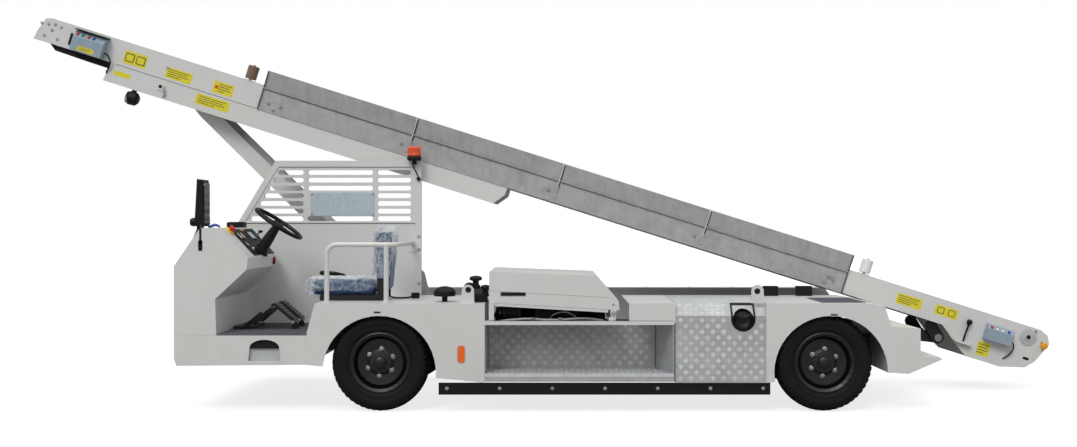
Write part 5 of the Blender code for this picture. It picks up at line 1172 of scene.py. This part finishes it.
class LOADER_OT_engine_bay(bpy.types.Operator):
    """Hood handle and seam, rail under the hood, hoses and auxiliaries in the side opening"""
    bl_idname = "loader.engine_bay"
    bl_label = "Engine bay"

    def execute(self, context):
        low = low_corner("hood")
        face = low[1]
        shapes = []

        def put(shape, finish):
            shapes.append((shape, finish))

        put(slab(rectangle(-0.203, 0.8305, 0.186, 0.034, 0.004), face - 0.0012, face + 0.0005), "plate grey")
        put(slab(rectangle(-0.203, 0.8305, 0.176, 0.025, 0.003), face - 0.0018, face + 0.0005), "dark gap")
        put(slab([(-0.372, 0.8560), (0.478, 0.8070), (0.478, 0.8095), (-0.372, 0.8590)], face - 0.0022, face + 0.0005),
            "white enamel")
        put(slab([(-0.372, 0.8548), (0.478, 0.8058), (0.478, 0.8070), (-0.372, 0.8560)], face - 0.0006, face + 0.0005),
            "dark gap")
        put(join(*bolt(0.506, 0.694, face, radius=0.011, rise=0.007)), "zinc bolt")
        put(join(*bolt(0.506, 0.7555, face, radius=0.006, rise=0.004)), "zinc bolt")
        piece("hood_trim", "hood", shapes)

        shapes = []
        put(slab([(-0.373, 0.7690), (0.470, 0.7190), (0.470, 0.6990), (-0.336, 0.7460), (-0.373, 0.7460)], -0.998, -0.986),
            "white enamel")
        put(slab([(0.4715, 0.645), (0.505, 0.645), (0.505, 0.668), (0.4715, 0.668)], -1.0485, -1.0), "white enamel")
        put(slab(rectangle(0.281, 0.6445, 1.30, 0.003), BODY_FACE - 0.0004, BODY_FACE + 0.02), "dark gap")
        # dark undertray, so that daylight does not show through the bay, and a dark sheet behind the auxiliaries; both
        # are near black as painted shade of the bay's inside
        put(slab([(-0.36, -0.93), (0.47, -0.93), (0.47, -0.645), (-0.36, -0.645)], 0.620, 0.628, "z"), "dark gap")
        put(slab(rectangle(0.06, 0.675, 0.80, 0.09), -0.690, -0.684), "dark gap")
        # generator with its fan, filter can, header tank, hoses and a bright pipe
        put(turned([(0.030, -0.075), (0.052, -0.066), (0.056, -0.055), (0.056, 0.050), (0.050, 0.062), (0.020, 0.066)],
                   (-0.215, -0.800, 0.690), "x", 28), "cast iron")
        put(turned([(0.036, -0.098), (0.040, -0.096), (0.032, -0.088), (0.040, -0.080), (0.036, -0.076)],
                   (-0.215, -0.800, 0.690), "x", 28), "machined steel")
        for k in range(5):
            put(turned([(0.0575, -0.045 + 0.02 * k), (0.0585, -0.041 + 0.02 * k), (0.0575, -0.037 + 0.02 * k)],
                       (-0.215, -0.800, 0.690), "x", 28), "dark gap")
        put(turned([(0.040, -0.085), (0.046, -0.080), (0.046, 0.070), (0.030, 0.080), (0.020, 0.095)],
                   (0.190, -0.840, 0.688), "x", 28), "black plastic")
        put(slab(rectangle(0.02, -0.80, 0.16, 0.14, 0.02), 0.628, 0.716, "z"), "black plastic")
        put(turned([(0.024, 0.716), (0.026, 0.720), (0.026, 0.734), (0.020, 0.738)], (-0.01, -0.83, 0.0), "z", 20),
            "dash panel")
        for knots, thick, finish in (
                (((-0.34, -0.86, 0.66), (-0.30, -0.90, 0.72), (-0.18, -0.915, 0.742), (-0.05, -0.90, 0.728),
                  (0.02, -0.86, 0.70)), 0.012, "black plastic"),
                (((0.05, -0.90, 0.645), (0.09, -0.93, 0.685), (0.17, -0.935, 0.700), (0.23, -0.92, 0.672),
                  (0.26, -0.90, 0.645)), 0.006, "machined steel"),
                (((0.27, -0.82, 0.69), (0.33, -0.84, 0.715), (0.39, -0.88, 0.690), (0.44, -0.90, 0.645)), 0.016,
                 "black plastic"),
                (((-0.30, -0.93, 0.635), (-0.12, -0.94, 0.652), (0.08, -0.945, 0.645), (0.30, -0.94, 0.655),
                  (0.44, -0.93, 0.640)), 0.007, "plate grey")):
            put(tube(smooth_route(knots, 7), thick), finish)
        for x in (-0.06, 0.13, 0.34):
            put(slab(rectangle(x, 0.652, 0.03, 0.018, 0.004), -0.955, -0.925), "machined steel")
        piece("engine_auxiliaries", "chassis", shapes, bevel=0.0008)
        return {"FINISHED"}


class LOADER_OT_other_sides(bpy.types.Operator):
    """Lamps on the nose and the tail, seams, marker and bolts on the right side"""
    bl_idname = "loader.other_sides"
    bl_label = "Nose, tail and right side"

    def execute(self, context):
        shapes = []

        def put(shape, finish):
            shapes.append((shape, finish))

        nose = low_corner("front_body")[0]
        for y in (-0.86, 0.86):
            put(turned([(0.078, -0.001), (0.078, -0.010), (0.072, -0.015), (0.066, -0.010)], (nose, y, 0.445), "x", 36),
                "black plastic")
            put(turned([(0.067, -0.009), (0.060, -0.014), (0.035, -0.019), (0.004, -0.0205)], (nose, y, 0.445), "x", 36),
                "lamp glass")
            put(slab(rectangle(math.copysign(0.70, y), 0.445, 0.07, 0.05, 0.012), nose - 0.008, nose + 0.0005, "x"),
                "orange marker")
        put(slab(rectangle(0.0, 0.445, 0.52, 0.075, 0.01), nose - 0.004, nose + 0.0005, "x"), "plate grey")
        put(slab(rectangle(0.0, 0.5405, 2.09, 0.003), nose - 0.0006, nose + 0.0005, "x"), "dark gap")
        tail = high_corner("right_body")[0]
        for z, finish in ((0.56, "red button"), (0.48, "orange marker"), (0.42, "plate grey")):
            put(slab(rectangle(0.96, z, 0.10, 0.06 if z > 0.45 else 0.03, 0.012), tail - 0.0005, tail + 0.010, "x"), finish)
        # right side: marker, door seams with latch, arch slots and a row of bolts
        face = high_corner("right_body")[1]
        put(slab(rectangle(-0.567, 0.409, 0.050, 0.120, 0.020, 6), face - 0.001, face + 0.0018), "orange marker")
        for x in (-0.15, 0.75):
            for outline in (rectangle(x, 0.69, 0.70, 0.003), rectangle(x, 0.27, 0.70, 0.003),
                            rectangle(x - 0.35, 0.48, 0.003, 0.42), rectangle(x + 0.35, 0.48, 0.003, 0.42)):
                put(slab(outline, face - 0.001, face + 0.0006), "dark gap")
            put(slab(rectangle(x + 0.28, 0.50, 0.045, 0.085, 0.010), face - 0.001, face + 0.0018), "black plastic")
            for shift in (-0.3475, 0.3475):
                for z in (0.32, 0.64):
                    put(join(*bolt(x + shift * 0.955, z, face, 1, 0.006, 0.0016, False)), "zinc bolt")
        for x in (-1.158, 2.0575):
            put(slab(rectangle(x, 0.7045, 0.050, 0.012, 0.004), face - 0.001, face + 0.0009), "dark gap")
        for k in range(14):
            put(turned([(0.008, 0.0), (0.008, 0.004), (0.005, 0.006)], (-2.50 + 0.375 * k, 0.96, high_corner("right_body")[2]),
                       "z", 6), "zinc bolt")
        piece("other_sides", "chassis", shapes)
        return {"FINISHED"}


# ---------------------------------------------------------------- stage

class LOADER_OT_stage(bpy.types.Operator):
    """Pale floor, plain light all round, a soft sun and the camera"""
    bl_idname = "loader.stage"
    bl_label = "Stage"

    def execute(self, context):
        scene = context.scene
        mesh = bpy.data.meshes.new("floor")
        reach = 60.0
        mesh.from_pydata([(-reach, -reach, 0), (reach, -reach, 0), (reach, reach, 0), (-reach, reach, 0)], [],
                         [(0, 1, 2, 3)])
        floor = bpy.data.objects.new("floor", mesh)
        scene.collection.objects.link(floor)
        # smooth pale studio floor: it takes the shadow, and adds enough of its own to read as white
        made = bpy.data.materials.new("studio floor")
        made.use_nodes = True
        tree = made.node_tree
        tree.nodes.clear()
        rays = add(tree, "LightPath")
        seen = add(tree, "Math", {0: rays.outputs["Is Camera Ray"], 1: rays.outputs["Is Transmission Ray"]},
                   operation="MAXIMUM").outputs[0]
        pale = add(tree, "BsdfDiffuse", {"Color": linear("9C9C9B")})
        glow = add(tree, "Emission", {"Color": linear("FFFFFF"), "Strength": spread(tree, seen, 0, 1, 0.0, 0.78)})
        both = add(tree, "AddShader", {0: pale.outputs[0], 1: glow.outputs[0]})
        out = add(tree, "OutputMaterial")
        tree.links.new(both.outputs[0], out.inputs["Surface"])
        mesh.materials.append(made)

        world = bpy.data.worlds.new("studio")
        scene.world = world
        world.use_nodes = True
        tree = world.node_tree
        tree.nodes.clear()
        rays = add(tree, "LightPath")
        seen = add(tree, "Math", {0: rays.outputs["Is Camera Ray"], 1: rays.outputs["Is Transmission Ray"]},
                   operation="MAXIMUM").outputs[0]
        # for everything else the sky is overcast: bright overhead, dim at the horizon
        toward = add(tree, "SeparateXYZ", {"Vector": add(tree, "TexCoord").outputs["Generated"]}).outputs["Z"]
        dome = spread(tree, toward, 0.0, 0.9, 0.20, 1.12)
        both = add(tree, "Mix", {0: seen, 2: dome, 3: 1.0}).outputs[0]
        sky = add(tree, "Background", {"Color": linear("FFFFFF"), "Strength": both})
        out = add(tree, "OutputWorld")
        tree.links.new(sky.outputs[0], out.inputs["Surface"])

        sun = bpy.data.lights.new("sun", "SUN")
        sun.energy, sun.angle = 1.15, math.radians(24)
        lamp = bpy.data.objects.new("sun", sun)
        lamp.rotation_euler = (math.radians(44), math.radians(-14), math.radians(-6))
        scene.collection.objects.link(lamp)

        camera = bpy.data.cameras.new("camera")
        camera.sensor_width, camera.lens, camera.shift_x = 36.0, 42.1, -0.0153
        eye = bpy.data.objects.new("camera", camera)
        eye.location = (0.093, -9.91, 1.33)
        eye.rotation_euler = (math.radians(90), 0, 0)
        scene.collection.objects.link(eye)
        scene.camera = eye
        scene.view_settings.view_transform = "Standard"
        return {"FINISHED"}


# ---------------------------------------------------------------- panel and registration

OPERATORS = (LOADER_OT_finishes, LOADER_OT_stage, LOADER_OT_tyres, LOADER_OT_hubs, LOADER_OT_labels,
             LOADER_OT_conveyor_fittings, LOADER_OT_tread_plate, LOADER_OT_body_trim, LOADER_OT_seat,
             LOADER_OT_cab_controls, LOADER_OT_partition_trim, LOADER_OT_engine_bay, LOADER_OT_other_sides)


class LOADER_PT_panel(bpy.types.Panel):
    """Lists the loader's colours, sizes and pieces"""
    bl_idname = "LOADER_PT_panel"
    bl_label = "Belt Loader"
    bl_space_type = "VIEW_3D"
    bl_region_type = "UI"
    bl_category = "Loader"

    def draw(self, context):
        for group in (context.scene.loader_colours, context.scene.loader_sizes):
            for key in group.__annotations__:
                self.layout.prop(group, key)
        for operator in OPERATORS:
            self.layout.operator(operator.bl_idname)


CLASSES = (LoaderColours, LoaderSizes, *OPERATORS, LOADER_PT_panel)


def register():
    for cls in CLASSES:
        bpy.utils.register_class(cls)
    bpy.types.Scene.loader_colours = bpy.props.PointerProperty(type=LoaderColours)
    bpy.types.Scene.loader_sizes = bpy.props.PointerProperty(type=LoaderSizes)


def unregister():
    del bpy.types.Scene.loader_sizes
    del bpy.types.Scene.loader_colours
    for cls in reversed(CLASSES):
        bpy.utils.unregister_class(cls)


def main():
    register()
    for operator in OPERATORS:
        name = operator.bl_idname.split(".")[1]
        if getattr(bpy.ops.loader, name)() != {"FINISHED"}:
            raise RuntimeError(f"{operator.bl_label} did not finish")


if __name__ == "__main__":
    main()
